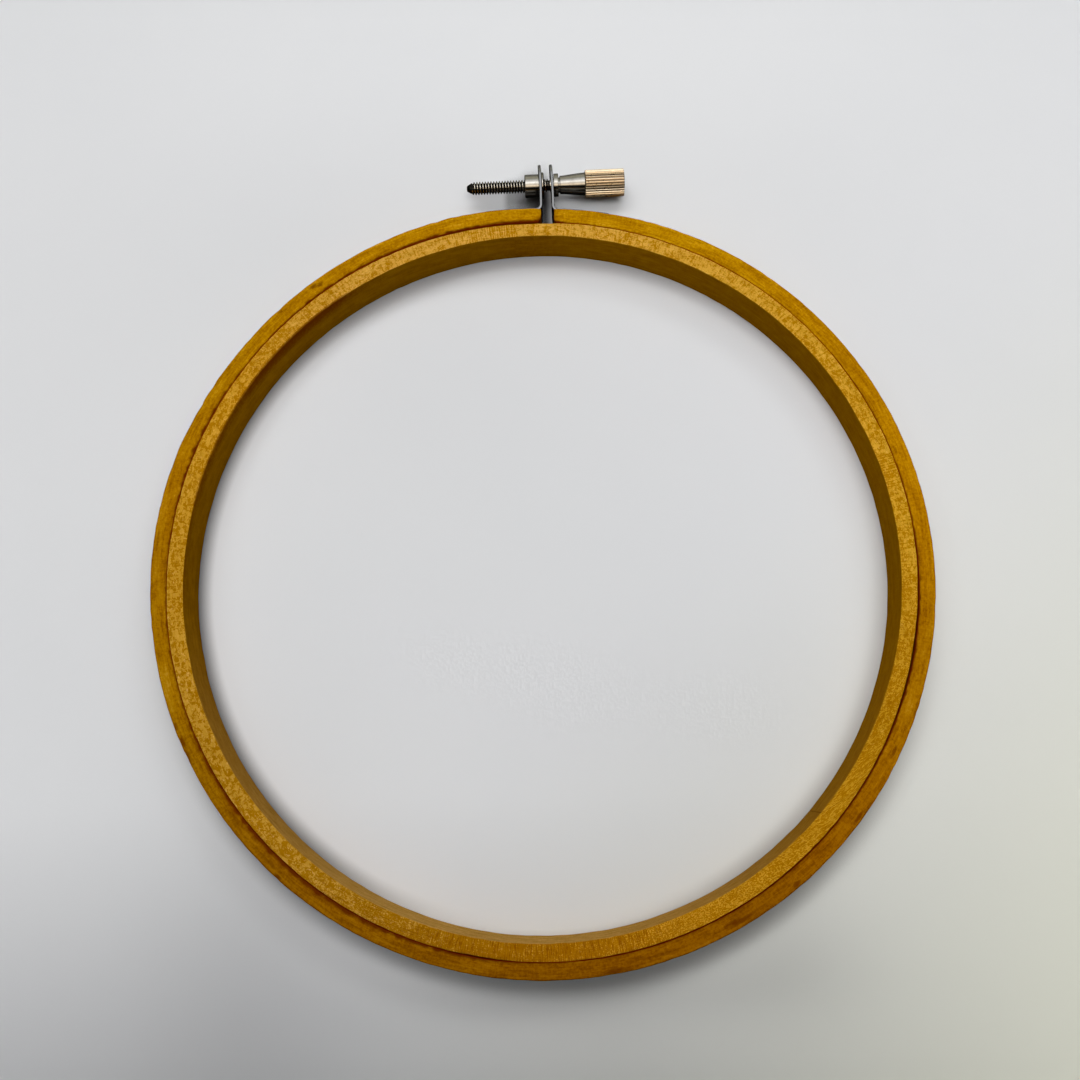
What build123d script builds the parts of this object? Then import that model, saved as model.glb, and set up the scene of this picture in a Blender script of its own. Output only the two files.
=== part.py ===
"""Round wooden embroidery hoop: an inner ring, an outer ring with a gap,
and a thumb screw that pulls the two ends of the outer ring together.

Millimetres.  The origin is the centre of the rings in the plane that the hoop
lies on, +Z is up, and the thumb screw lies along X.  Bearings are measured
clockwise from +Y, seen from above.
"""
from build123d import *
import math
import os

# ---------------------------------------------------------------- dimensions
ring_height = 9.5            # both rings, 3/8 inch
inner_bore_r = 72.9          # inside of the inner ring
inner_outer_r = 76.05        # outside of the inner ring
outer_bore_r = 76.35         # inside of the outer ring
outer_outer_r = 79.77        # outside of the outer ring
edge_round_big = 0.5         # top outer edge of the outer ring
edge_round = 0.2             # every other long edge of the wood

gap_left_bearing = 2.25      # end face of the left half
gap_right_bearing = 4.37     # end face of the right half
flex_bearing = 183.31        # point opposite the gap, where the strip bends
flex_r = (outer_bore_r + outer_outer_r) / 2
relief_outer = 2.2           # degrees taken off each end face outside the flex line
relief_inner = 0.35          # degrees taken off each end face inside the flex line
relief_clear = 0.02          # clearance at the flex line itself
end_corner_round = 1.0       # inner vertical corner of each ring end at the gap

screw_y = 87.46              # screw axis, outside the ring
screw_z = ring_height / 2

lug_thick = 0.6
lug_width = 7.2
lug_left_x = 3.16            # middle of the left leg
lug_right_x = 5.84           # middle of the right leg
lug_tip_y = 92.06            # top of the rounded tip
lug_bend_r = 1.2             # bend, to the middle of the strip
foot_gap = 0.02              # between foot and wood
foot_length = 12.0
foot_corner_r = 1.5
screw_hole_r = 1.50          # clearance hole in the right leg
neck_r = 2.10                # neck of the nut in the left leg

nut_left_x = -0.32
nut_r = 2.50
nut_bore_r = 1.68
flange_r = 2.88
flange_thick = 0.55

thread_r = 1.4225            # 4-40: 0.112 inch over the crests
thread_tip_x = -13.37
thread_full_x = -11.56
thread_tip_r = 0.68
collar_left_x = 6.20
collar_right_x = 7.24
collar_r = 2.50
groove_r = 1.70
taper_left_x = 7.56
taper_left_r = 1.85
head_left_x = 13.22
taper_right_r = 2.50
head_right_x = 22.00
head_r = 2.97
knurl_depth = 0.22
knurl_count = 30
head_chamfer = 0.30

nail_r = 0.50
nail_head_r = 1.10
nail_head_high = 0.55
nail_depth = 2.60
nail_offsets = (2.4, 6.2)    # degrees along the foot from the end of the bend


def at_bearing(radius, bearing):
    """Point in plan at a radius and a clockwise bearing from +Y."""
    b = math.radians(bearing)
    return (radius * math.sin(b), radius * math.cos(b))


def end_face(side):
    """Outer, flex and inner point of the end face at the flex line.  side is +1
    for the half that runs clockwise from the gap, -1 for the other.  The face
    leans back on both sides of the line, so that the halves can turn about it."""
    px, py = at_bearing(flex_r, flex_bearing)
    b = math.radians(flex_bearing)
    out = (math.sin(b), math.cos(b))
    clockwise = (math.cos(b), -math.sin(b))

    def point(d):
        lean = relief_outer if d > 0 else relief_inner
        back = -side * (abs(d) * math.tan(math.radians(lean)) + relief_clear)
        return (
            px + out[0] * d + clockwise[0] * back,
            py + out[1] * d + clockwise[1] * back,
        )

    points = []
    for radius in (outer_outer_r, flex_r, outer_bore_r):
        d = radius - flex_r
        if d:
            for _ in range(20):
                d += radius - math.hypot(*point(d))
        points.append(point(d))
    return points


def radial_plane(bearing):
    """Plane at the rings' mid height whose local y points out along a bearing."""
    b = math.radians(bearing)
    return Plane(
        origin=(0, 0, ring_height / 2),
        x_dir=(math.cos(b), -math.sin(b), 0),
        z_dir=(0, 0, 1),
    )


def radial_axis(bearing):
    b = math.radians(bearing)
    return Axis((0, 0, ring_height / 2), (math.sin(b), math.cos(b), 0))


foot_inner_r = outer_outer_r + foot_gap
foot_outer_r = foot_inner_r + lug_thick
foot_mid_r = (foot_inner_r + foot_outer_r) / 2
lug_low_z = screw_z - lug_width / 2


def lug_bend(side):
    """Leg's x, bend centre, and the bearing where the bend meets the foot.
    side is -1 for the left lug and +1 for the right one."""
    leg_x = lug_left_x if side < 0 else lug_right_x
    cx = leg_x + side * lug_bend_r
    cy = math.sqrt((foot_mid_r + lug_bend_r) ** 2 - cx**2)
    return leg_x, cx, cy, math.degrees(math.atan2(cx, cy))


def nail_bearings(side):
    start = lug_bend(side)[3]
    return [start + side * a for a in nail_offsets]


def bend_points(side, radius):
    """Start at the leg, middle and end at the foot of one side of the bend."""
    leg_x, cx, cy, start = lug_bend(side)
    ux, uy = at_bearing(1, start)
    vx, vy = -ux - side, -uy
    n = math.hypot(vx, vy)
    return (
        (cx - side * radius, cy),
        (cx + radius * vx / n, cy + radius * vy / n),
        (cx - radius * ux, cy - radius * uy),
    )


def near(edge, point, distance):
    c = edge.center()
    return math.hypot(c.X - point[0], c.Y - point[1]) < distance


def is_long(edge):
    return edge.geom_type == GeomType.CIRCLE and edge.length > 100


def edge_radius(edge):
    p = edge.position_at(0.5)
    return math.hypot(p.X, p.Y)


bend_tight = lug_bend_r - lug_thick / 2
bend_wide = lug_bend_r + lug_thick / 2

# ------------------------------------------------------------- wooden rings
with BuildPart() as inner_ring:
    with BuildSketch():
        Circle(inner_outer_r)
        Circle(inner_bore_r, mode=Mode.SUBTRACT)
    extrude(amount=ring_height)
    fillet(inner_ring.edges().filter_by(GeomType.CIRCLE), radius=edge_round)
inner_ring.part.label = "inner_ring"

# half of the bent strip that runs clockwise from the gap
far_out, far_mid, far_in = end_face(1)
with BuildPart() as outer_ring_right:
    with BuildSketch():
        with BuildLine():
            ThreePointArc(
                at_bearing(outer_outer_r, gap_right_bearing),
                at_bearing(outer_outer_r, gap_right_bearing + 90),
                far_out,
            )
            Polyline(far_out, far_mid, far_in)
            ThreePointArc(
                far_in,
                at_bearing(outer_bore_r, gap_right_bearing + 90),
                at_bearing(outer_bore_r, gap_right_bearing),
            )
            Line(
                at_bearing(outer_bore_r, gap_right_bearing),
                at_bearing(outer_outer_r, gap_right_bearing),
            )
        make_face()
    extrude(amount=ring_height)
    fillet(
        outer_ring_right.edges().filter_by(Axis.Z).filter_by(
            lambda e: near(e, at_bearing(outer_bore_r, gap_right_bearing), 0.1)
        ),
        radius=end_corner_round,
    )
    fillet(
        outer_ring_right.edges().filter_by(Axis.Z).filter_by(
            lambda e: near(e, at_bearing(outer_outer_r, gap_right_bearing), 0.1)
        ),
        radius=0.3,
    )
    fillet(
        outer_ring_right.edges().filter_by(is_long).filter_by(
            lambda e: e.center().Z > ring_height - 0.01 and edge_radius(e) > flex_r
        ),
        radius=edge_round_big,
    )
    fillet(
        outer_ring_right.edges().filter_by(is_long).filter_by(
            lambda e: (e.center().Z < 0.01)
            or (e.center().Z > ring_height - 0.01 and edge_radius(e) < flex_r)
        ),
        radius=edge_round,
    )
    # holes for the nails of the lug's foot
    for bearing in nail_bearings(1):
        with BuildSketch(radial_plane(bearing)):
            with BuildLine():
                Polyline(
                    (0, outer_outer_r - nail_depth),
                    (nail_r, outer_outer_r - nail_depth + 0.7),
                    (nail_r, outer_outer_r + 1),
                    (0, outer_outer_r + 1),
                    close=True,
                )
            make_face()
        revolve(axis=radial_axis(bearing), mode=Mode.SUBTRACT)
outer_ring_right.part.label = "outer_ring_right"

# the other half of the strip
far_out, far_mid, far_in = end_face(-1)
with BuildPart() as outer_ring_left:
    with BuildSketch():
        with BuildLine():
            ThreePointArc(
                at_bearing(outer_outer_r, gap_left_bearing),
                at_bearing(outer_outer_r, gap_left_bearing - 90),
                far_out,
            )
            Polyline(far_out, far_mid, far_in)
            ThreePointArc(
                far_in,
                at_bearing(outer_bore_r, gap_left_bearing - 90),
                at_bearing(outer_bore_r, gap_left_bearing),
            )
            Line(
                at_bearing(outer_bore_r, gap_left_bearing),
                at_bearing(outer_outer_r, gap_left_bearing),
            )
        make_face()
    extrude(amount=ring_height)
    fillet(
        outer_ring_left.edges().filter_by(Axis.Z).filter_by(
            lambda e: near(e, at_bearing(outer_bore_r, gap_left_bearing), 0.1)
        ),
        radius=end_corner_round,
    )
    fillet(
        outer_ring_left.edges().filter_by(Axis.Z).filter_by(
            lambda e: near(e, at_bearing(outer_outer_r, gap_left_bearing), 0.1)
        ),
        radius=0.3,
    )
    fillet(
        outer_ring_left.edges().filter_by(is_long).filter_by(
            lambda e: e.center().Z > ring_height - 0.01 and edge_radius(e) > flex_r
        ),
        radius=edge_round_big,
    )
    fillet(
        outer_ring_left.edges().filter_by(is_long).filter_by(
            lambda e: (e.center().Z < 0.01)
            or (e.center().Z > ring_height - 0.01 and edge_radius(e) < flex_r)
        ),
        radius=edge_round,
    )
    # holes for the nails of the lug's foot
    for bearing in nail_bearings(-1):
        with BuildSketch(radial_plane(bearing)):
            with BuildLine():
                Polyline(
                    (0, outer_outer_r - nail_depth),
                    (nail_r, outer_outer_r - nail_depth + 0.7),
                    (nail_r, outer_outer_r + 1),
                    (0, outer_outer_r + 1),
                    close=True,
                )
            make_face()
        revolve(axis=radial_axis(bearing), mode=Mode.SUBTRACT)
outer_ring_left.part.label = "outer_ring_left"

# ----------------------------------------------------------------- the lugs
# right lug: bent strip, leg out of the ring, foot along the ring
wide_leg, wide_mid, wide_foot = bend_points(1, bend_wide)
tight_leg, tight_mid, tight_foot = bend_points(1, bend_tight)
foot_start = lug_bend(1)[3]
foot_end = foot_start + math.degrees(foot_length / foot_mid_r)
with BuildPart() as right_lug:
    with BuildSketch(Plane.XY.offset(lug_low_z)):
        with BuildLine():
            Line((lug_right_x - lug_thick / 2, lug_tip_y), wide_leg)
            ThreePointArc(wide_leg, wide_mid, wide_foot)
            ThreePointArc(
                wide_foot,
                at_bearing(foot_inner_r, (foot_start + foot_end) / 2),
                at_bearing(foot_inner_r, foot_end),
            )
            Line(
                at_bearing(foot_inner_r, foot_end),
                at_bearing(foot_outer_r, foot_end),
            )
            ThreePointArc(
                at_bearing(foot_outer_r, foot_end),
                at_bearing(foot_outer_r, (foot_start + foot_end) / 2),
                tight_foot,
            )
            ThreePointArc(tight_foot, tight_mid, tight_leg)
            Line(tight_leg, (lug_right_x + lug_thick / 2, lug_tip_y))
            Line(
                (lug_right_x + lug_thick / 2, lug_tip_y),
                (lug_right_x - lug_thick / 2, lug_tip_y),
            )
        make_face()
    extrude(amount=lug_width)
    # round tip of the leg
    with BuildSketch(Plane.YZ.offset(lug_right_x - 1)):
        with Locations((lug_tip_y, screw_z)):
            Rectangle(lug_width, lug_width + 2)
        with Locations((lug_tip_y - lug_width / 2, screw_z)):
            Circle(lug_width / 2, mode=Mode.SUBTRACT)
    extrude(amount=2, mode=Mode.SUBTRACT)
    # hole in the leg
    with BuildSketch(Plane.YZ.offset(lug_right_x - 1)):
        with Locations((screw_y, screw_z)):
            Circle(screw_hole_r)
    extrude(amount=2, mode=Mode.SUBTRACT)
    # rounded corners at the free end of the foot
    fillet(
        right_lug.edges().filter_by(
            lambda e: e.length < lug_thick * 1.2
            and near(e, at_bearing(foot_mid_r, foot_end), 0.05)
        ),
        radius=foot_corner_r,
    )
    # nail holes in the foot
    for bearing in nail_bearings(1):
        with BuildSketch(radial_plane(bearing)):
            with Locations((nail_r / 2, foot_mid_r)):
                Rectangle(nail_r, 3)
        revolve(axis=radial_axis(bearing), mode=Mode.SUBTRACT)
right_lug.part.label = "right_lug"

# left lug
wide_leg, wide_mid, wide_foot = bend_points(-1, bend_wide)
tight_leg, tight_mid, tight_foot = bend_points(-1, bend_tight)
foot_start = lug_bend(-1)[3]
foot_end = foot_start - math.degrees(foot_length / foot_mid_r)
with BuildPart() as left_lug:
    with BuildSketch(Plane.XY.offset(lug_low_z)):
        with BuildLine():
            Line((lug_left_x + lug_thick / 2, lug_tip_y), wide_leg)
            ThreePointArc(wide_leg, wide_mid, wide_foot)
            ThreePointArc(
                wide_foot,
                at_bearing(foot_inner_r, (foot_start + foot_end) / 2),
                at_bearing(foot_inner_r, foot_end),
            )
            Line(
                at_bearing(foot_inner_r, foot_end),
                at_bearing(foot_outer_r, foot_end),
            )
            ThreePointArc(
                at_bearing(foot_outer_r, foot_end),
                at_bearing(foot_outer_r, (foot_start + foot_end) / 2),
                tight_foot,
            )
            ThreePointArc(tight_foot, tight_mid, tight_leg)
            Line(tight_leg, (lug_left_x - lug_thick / 2, lug_tip_y))
            Line(
                (lug_left_x - lug_thick / 2, lug_tip_y),
                (lug_left_x + lug_thick / 2, lug_tip_y),
            )
        make_face()
    extrude(amount=lug_width)
    # round tip of the leg
    with BuildSketch(Plane.YZ.offset(lug_left_x - 1)):
        with Locations((lug_tip_y, screw_z)):
            Rectangle(lug_width, lug_width + 2)
        with Locations((lug_tip_y - lug_width / 2, screw_z)):
            Circle(lug_width / 2, mode=Mode.SUBTRACT)
    extrude(amount=2, mode=Mode.SUBTRACT)
    # hole in the leg
    with BuildSketch(Plane.YZ.offset(lug_left_x - 1)):
        with Locations((screw_y, screw_z)):
            Circle(neck_r)
    extrude(amount=2, mode=Mode.SUBTRACT)
    # rounded corners at the free end of the foot
    fillet(
        left_lug.edges().filter_by(
            lambda e: e.length < lug_thick * 1.2
            and near(e, at_bearing(foot_mid_r, foot_end), 0.05)
        ),
        radius=foot_corner_r,
    )
    # nail holes in the foot
    for bearing in nail_bearings(-1):
        with BuildSketch(radial_plane(bearing)):
            with Locations((nail_r / 2, foot_mid_r)):
                Rectangle(nail_r, 3)
        revolve(axis=radial_axis(bearing), mode=Mode.SUBTRACT)
left_lug.part.label = "left_lug"

# round-head nails through the right foot
with BuildPart() as right_lug_nails:
    for bearing in nail_bearings(1):
        with BuildSketch(radial_plane(bearing)):
            with BuildLine():
                Polyline(
                    (0, foot_outer_r + nail_head_high),
                    (0, outer_outer_r - nail_depth),
                    (nail_r, outer_outer_r - nail_depth + 0.7),
                    (nail_r, foot_outer_r),
                    (nail_head_r, foot_outer_r),
                    (nail_head_r, foot_outer_r + 0.12),
                    (nail_head_r * 0.90, foot_outer_r + nail_head_high * 0.52),
                    (nail_head_r * 0.66, foot_outer_r + nail_head_high * 0.78),
                    (nail_head_r * 0.34, foot_outer_r + nail_head_high * 0.95),
                    close=True,
                )
            make_face()
        revolve(axis=radial_axis(bearing))
right_lug_nails.part.label = "right_lug_nails"

# round-head nails through the left foot
with BuildPart() as left_lug_nails:
    for bearing in nail_bearings(-1):
        with BuildSketch(radial_plane(bearing)):
            with BuildLine():
                Polyline(
                    (0, foot_outer_r + nail_head_high),
                    (0, outer_outer_r - nail_depth),
                    (nail_r, outer_outer_r - nail_depth + 0.7),
                    (nail_r, foot_outer_r),
                    (nail_head_r, foot_outer_r),
                    (nail_head_r, foot_outer_r + 0.12),
                    (nail_head_r * 0.90, foot_outer_r + nail_head_high * 0.52),
                    (nail_head_r * 0.66, foot_outer_r + nail_head_high * 0.78),
                    (nail_head_r * 0.34, foot_outer_r + nail_head_high * 0.95),
                    close=True,
                )
            make_face()
        revolve(axis=radial_axis(bearing))
left_lug_nails.part.label = "left_lug_nails"

# -------------------------------------------------------------- barrel nut
screw_axis = Axis((0, screw_y, screw_z), (1, 0, 0))
screw_plane = Plane(origin=(0, screw_y, screw_z), x_dir=(1, 0, 0), z_dir=(0, 0, 1))
leg_out = lug_left_x - lug_thick / 2
leg_in = lug_left_x + lug_thick / 2

with BuildPart() as barrel_nut:
    with BuildSketch(screw_plane):
        with BuildLine():
            Polyline(
                (nut_left_x, nut_bore_r + 0.12),
                (nut_left_x, nut_r - 0.2),
                (nut_left_x + 0.2, nut_r),
                (leg_out, nut_r),
                (leg_out, neck_r),
                (leg_in, neck_r),
                (leg_in, flange_r - 0.1),
                (leg_in + 0.1, flange_r),
                (leg_in + flange_thick - 0.2, flange_r),
                (leg_in + flange_thick, flange_r - 0.2),
                (leg_in + flange_thick, nut_bore_r),
                (nut_left_x + 0.12, nut_bore_r),
                close=True,
            )
        make_face()
    revolve(axis=screw_axis)
barrel_nut.part.label = "barrel_nut"

# ------------------------------------------------------------- thumb screw
with BuildPart() as thumb_screw:
    with BuildSketch(screw_plane):
        with BuildLine():
            Polyline(
                (thread_tip_x, 0),
                (thread_tip_x, thread_tip_r),
                (thread_full_x, thread_r),
                (collar_left_x, thread_r),
                (collar_left_x, collar_r - 0.12),
                (collar_left_x + 0.12, collar_r),
                (collar_right_x - 0.2, collar_r),
                (collar_right_x, collar_r - 0.2),
                (collar_right_x, groove_r),
                (taper_left_x, groove_r),
                (taper_left_x, taper_left_r),
                (head_left_x, taper_right_r),
                (head_left_x, head_r - head_chamfer),
                (head_left_x + head_chamfer, head_r),
                (head_right_x - head_chamfer, head_r),
                (head_right_x, head_r - head_chamfer),
                (head_right_x, 0),
                close=True,
            )
        make_face()
    revolve(axis=screw_axis)
    # straight knurl: cut everything outside a star around the head
    with BuildSketch(Plane(origin=(head_left_x - 0.02, screw_y, screw_z), x_dir=(0, 1, 0), z_dir=(1, 0, 0))):
        Circle(head_r + 1)
        with BuildLine():
            star = []
            for i in range(knurl_count):
                for step, r in ((0.0, head_r - knurl_depth), (0.34, head_r), (0.66, head_r)):
                    a = 2 * math.pi * (i + step) / knurl_count
                    star.append((r * math.cos(a), r * math.sin(a)))
            Polyline(*star, close=True)
        make_face(mode=Mode.SUBTRACT)
    extrude(amount=head_right_x - head_left_x + 0.04, mode=Mode.SUBTRACT)
thumb_screw.part.label = "thumb_screw"

# ------------------------------------------------------------------ export
os.makedirs("parts", exist_ok=True)
export_step(inner_ring.part, "parts/inner_ring.step")
export_step(outer_ring_right.part, "parts/outer_ring_right.step")
export_step(outer_ring_left.part, "parts/outer_ring_left.step")
export_step(right_lug.part, "parts/right_lug.step")
export_step(left_lug.part, "parts/left_lug.step")
export_step(right_lug_nails.part, "parts/right_lug_nails.step")
export_step(left_lug_nails.part, "parts/left_lug_nails.step")
export_step(barrel_nut.part, "parts/barrel_nut.step")
export_step(thumb_screw.part, "parts/thumb_screw.step")
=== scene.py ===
"""Looks of the round wooden embroidery hoop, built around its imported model.

Lengths are millimetres until a mesh is made, and metres from there on.
Bearings are degrees clockwise from +Y, seen from above.
"""
import math

import bpy
import numpy as np
from mathutils import Matrix, Vector, noise


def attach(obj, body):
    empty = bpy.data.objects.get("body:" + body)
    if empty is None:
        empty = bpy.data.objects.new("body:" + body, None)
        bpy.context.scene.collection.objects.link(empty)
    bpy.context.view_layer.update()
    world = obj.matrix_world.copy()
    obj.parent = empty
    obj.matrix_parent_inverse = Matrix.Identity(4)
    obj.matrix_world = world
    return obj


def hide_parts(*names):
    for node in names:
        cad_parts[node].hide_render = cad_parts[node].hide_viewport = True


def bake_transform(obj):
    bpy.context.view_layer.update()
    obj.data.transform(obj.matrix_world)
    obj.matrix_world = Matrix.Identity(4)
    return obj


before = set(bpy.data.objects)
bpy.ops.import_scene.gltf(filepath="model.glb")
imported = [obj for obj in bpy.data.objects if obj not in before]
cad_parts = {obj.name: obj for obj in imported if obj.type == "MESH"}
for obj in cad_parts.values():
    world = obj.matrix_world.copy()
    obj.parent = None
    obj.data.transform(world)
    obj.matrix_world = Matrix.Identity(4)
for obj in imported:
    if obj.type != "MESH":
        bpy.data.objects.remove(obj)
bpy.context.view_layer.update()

MM = 0.001
scene = bpy.context.scene
scene.view_settings.view_transform = "Standard"
scene.view_settings.look = "None"
scene.view_settings.exposure = 0.0
scene.view_settings.gamma = 1.0

# ------------------------------------------------------------------ camera
cam_data = bpy.data.cameras.new("camera")
cam_data.sensor_width = 36.0
cam_data.lens = 36.0 * 1036.611 / 1080.0
cam_data.clip_start = 0.01
cam_data.clip_end = 50.0
camera = bpy.data.objects.new("camera", cam_data)
scene.collection.objects.link(camera)
right = (0.99918926, -0.03576168, -0.01849112)
up = (0.03887940, 0.97636158, 0.21261812)
back = (0.01045043, -0.21316467, 0.97696039)
eye = (0.00245185, -0.04029204, 0.21607898)
camera.matrix_world = Matrix(
    [[right[k], up[k], back[k], eye[k]] for k in range(3)] + [[0, 0, 0, 1]]
)
scene.camera = camera


# ----------------------------------------------------- numbers round a ring
GRID = np.arange(0, 360, 0.1)


def curve(points, blur=3.0):
    """Smooth closed curve through given (bearing, value) pairs; returns a
    function of bearing."""
    pts = sorted((p[0] % 360, p[1]) for p in points)
    y = np.interp(GRID, [p[0] for p in pts], [p[1] for p in pts], period=360)
    if blur > 0:
        k = np.minimum(GRID, 360 - GRID)
        kernel = np.exp(-0.5 * (k / blur) ** 2)
        kernel /= kernel.sum()
        y = np.real(np.fft.ifft(np.fft.fft(y) * np.fft.fft(kernel)))
    return lambda b: np.interp(np.asarray(b) % 360, GRID, y, period=360)


def ripple(seed, lo, hi, power=1.0):
    """Sum of whole waves round the ring with unit size; a function of bearing."""
    rng = np.random.default_rng(seed)
    waves = np.arange(lo, hi + 1)
    size = 1.0 / waves.astype(float) ** power
    size /= np.sqrt((size**2).sum() / 2)
    phase = rng.uniform(0, 2 * math.pi, len(waves))

    def f(b):
        t = np.radians(np.asarray(b, float))
        return (size * np.sin(np.multiply.outer(t, waves) + phase)).sum(-1)

    return f


def bump_at(b, centre, width):
    """Smooth bump of height 1 and the given half width in degrees."""
    d = (np.asarray(b) - centre + 180) % 360 - 180
    return np.exp(-0.5 * (d / width) ** 2)


def window(b, start, end, soft=1.0):
    """1 between two bearings, going clockwise, with soft ends."""
    b = np.asarray(b, float)
    mid = start + ((end - start) % 360) / 2
    half = ((end - start) % 360) / 2
    d = np.abs((b - mid + 180) % 360 - 180)
    return 1 / (1 + np.exp(np.clip((d - half) / max(soft, 0.05) * 3, -50, 50)))


# the line between the rings, its width, and how far each ring is out of round
gap_line = curve([(5, 75.80), (20, 75.98), (40, 76.14), (70, 76.22), (90, 76.28),
                  (110, 76.30), (150, 76.28), (180, 76.28), (200, 76.22), (230, 76.20),
                  (265, 76.18), (285, 76.02), (305, 75.92), (320, 75.95), (340, 76.04),
                  (352, 75.98)], 5)
gap_width = curve([(0, 0.62), (3, 0.55), (6, 0.14), (12, 0.10), (30, 0.11), (60, 0.11), (85, 0.15),
                   (93, 0.26), (99, 0.40), (105, 0.50), (111, 0.46), (118, 0.32),
                   (127, 0.24), (150, 0.20), (172, 0.20), (177, 0.11), (184, 0.11),
                   (188, 0.26), (191, 0.32), (194, 0.18), (200, 0.14), (245, 0.14),
                   (255, 0.12), (300, 0.14), (330, 0.15), (338, 0.26), (346, 0.36),
                   (355, 0.48)], 1.0)
outer_edge = curve([(5, 79.28), (12, 79.38), (22, 79.58), (45, 79.70), (90, 79.74),
                    (150, 79.74), (180, 79.55), (200, 79.42), (235, 79.38), (262, 79.45),
                    (280, 79.60), (293, 79.62), (299, 79.34), (308, 79.26), (320, 79.35),
                    (334, 79.55), (347, 79.72), (355, 79.55)], 2.5)
inner_edge = curve([(0, 72.62), (20, 72.80), (45, 72.88), (120, 72.90), (200, 72.90),
                    (240, 72.84), (265, 72.70), (290, 72.52), (315, 72.45), (340, 72.50)], 6)
HIGH = 9.5

# how light each ring's colour is round the ring, and its green and blue shares, as a share of the plain stain's colour
OUTER_TOP = curve([(0, 0.95), (15, 1.01), (30, 1.11), (45, 1.02), (60, 0.90), (75, 1.07), (90, 0.94), (105, 0.77),
                   (120, 0.80), (135, 0.68), (150, 0.59), (165, 0.73), (180, 0.63), (195, 0.71), (210, 0.67),
                   (225, 0.58), (240, 0.62), (255, 0.76), (270, 0.73), (285, 0.84), (300, 0.91), (330, 0.98),
                   (345, 0.98)], 4)
OUTER_GREEN = curve([(15, 1.01), (30, 1.03), (45, 0.98), (60, 0.93), (75, 0.95), (90, 0.91), (105, 0.90), (120, 0.87),
                     (135, 0.78), (150, 0.75), (165, 0.78), (180, 0.75), (195, 0.83), (210, 0.83), (225, 0.84),
                     (240, 0.93), (255, 0.96), (270, 0.92), (285, 0.90), (300, 0.98), (345, 0.98)], 4)
INNER_TOP = curve([(0, 0.96), (15, 0.98), (30, 0.98), (45, 0.97), (60, 0.94), (75, 0.97), (90, 0.91), (105, 0.85),
                   (120, 0.78), (135, 0.81), (150, 0.89), (165, 1.01), (180, 0.95), (195, 0.87), (210, 0.83),
                   (225, 0.79), (240, 0.72), (255, 0.80), (270, 0.80), (285, 0.86), (300, 0.93), (315, 0.89),
                   (330, 0.92), (345, 0.95)], 4)
INNER_GREEN = curve([(15, 0.94), (90, 0.925), (120, 0.89), (150, 0.88), (180, 0.835), (210, 0.93), (240, 0.92),
                     (270, 0.91), (300, 0.90), (330, 0.92)], 4)
INNER_BLUE = curve([(15, 0.65), (50, 0.45), (90, 0.31), (120, 0.20), (150, 0.28), (180, 0.35), (210, 0.60), (240, 0.50),
                    (270, 0.40), (300, 0.37), (330, 0.69)], 4)
# inside face: its own uneven tone, with painted sheen where it is lightest, at 165-210 degrees, the part that catches
# the lamps
INNER_WALL_TONE_AND_SHEEN = curve([(0, 1.04), (15, 1.12), (45, 1.06), (60, 1.07), (75, 1.11), (90, 1.0), (120, 1.11), (135, 1.02),
                    (165, 1.17), (180, 1.18), (210, 1.12), (225, 1.06), (240, 1.01), (255, 0.98), (270, 0.83),
                    (300, 0.95), (330, 0.93), (345, 0.97)], 4)
INNER_RED = curve([(10, 0.0), (90, 0.0), (180, 0.0), (270, 0.0)], 4)


# ------------------------------------------------------------- mesh helpers
def profile(r_in, r_out, z_lo, z_hi, cit, cot, cob, cib, n_top, n_wall, n_bot, n_c=4):
    """Rounded rectangle at every station.  Returns radii and heights, one row
    a station, and the outward direction of each point of the profile."""
    n = len(r_in)
    R, Z, N = [], [], []

    def arc(rc, zc, c, a0, a1):
        for k in range(n_c + 1):
            a = math.radians(a0 + (a1 - a0) * k / n_c)
            R.append(rc + c * math.cos(a))
            Z.append(zc + c * math.sin(a))
            N.append((math.cos(a), math.sin(a)))

    def line(ra, za, rb, zb, count, direction):
        for k in range(1, count):
            t = k / count
            R.append(ra + (rb - ra) * t)
            Z.append(za + (zb - za) * t)
            N.append(direction)

    arc(r_in + cit, z_hi - cit, cit, 180, 90)
    line(r_in + cit, z_hi, r_out - cot, z_hi, n_top, (0, 1))
    arc(r_out - cot, z_hi - cot, cot, 90, 0)
    line(r_out, z_hi - cot, r_out, z_lo + cob, n_wall, (1, 0))
    arc(r_out - cob, z_lo + cob, cob, 0, -90)
    line(r_out - cob, z_lo, r_in + cib, z_lo, n_bot, (0, -1))
    arc(r_in + cib, z_lo + cib, cib, -90, -180)
    line(r_in, z_lo + cib, r_in, z_hi - cit, n_wall, (-1, 0))
    R = np.stack([np.broadcast_to(x, (n,)) for x in R], 1)
    Z = np.stack([np.broadcast_to(x, (n,)) for x in Z], 1)
    return R, Z, np.array(N, float)


def smooth_noise(P, size, seed, octaves=2):
    """Fractal noise at every point, for points in millimetres."""
    flat = P.reshape(-1, 3) / size + seed * 17.3
    out = np.array([noise.fractal(v, 1.0, 2.0, octaves) for v in flat])
    return out.reshape(P.shape[:-1])


def grid_normals(P, closed, outward):
    """Area-weighted normals of a grid of points whose columns close, on the
    side that outward, a rough direction for each point, lies on."""
    nxt_col = np.roll(P, -1, 1)
    if closed:
        nxt_row, nxt_both = np.roll(P, -1, 0), np.roll(nxt_col, -1, 0)
        q = np.cross(nxt_both - P, nxt_row - nxt_col)
        total = q + np.roll(q, 1, 0)
    else:
        q = np.cross(nxt_col[1:] - P[:-1], P[1:] - nxt_col[:-1])
        total = np.zeros_like(P)
        total[:-1] += q
        total[1:] += q
    total = total + np.roll(total, 1, 1)
    total = total * np.sign((total * outward).sum())
    return total / np.maximum(np.linalg.norm(total, axis=-1, keepdims=True), 1e-12)


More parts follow.
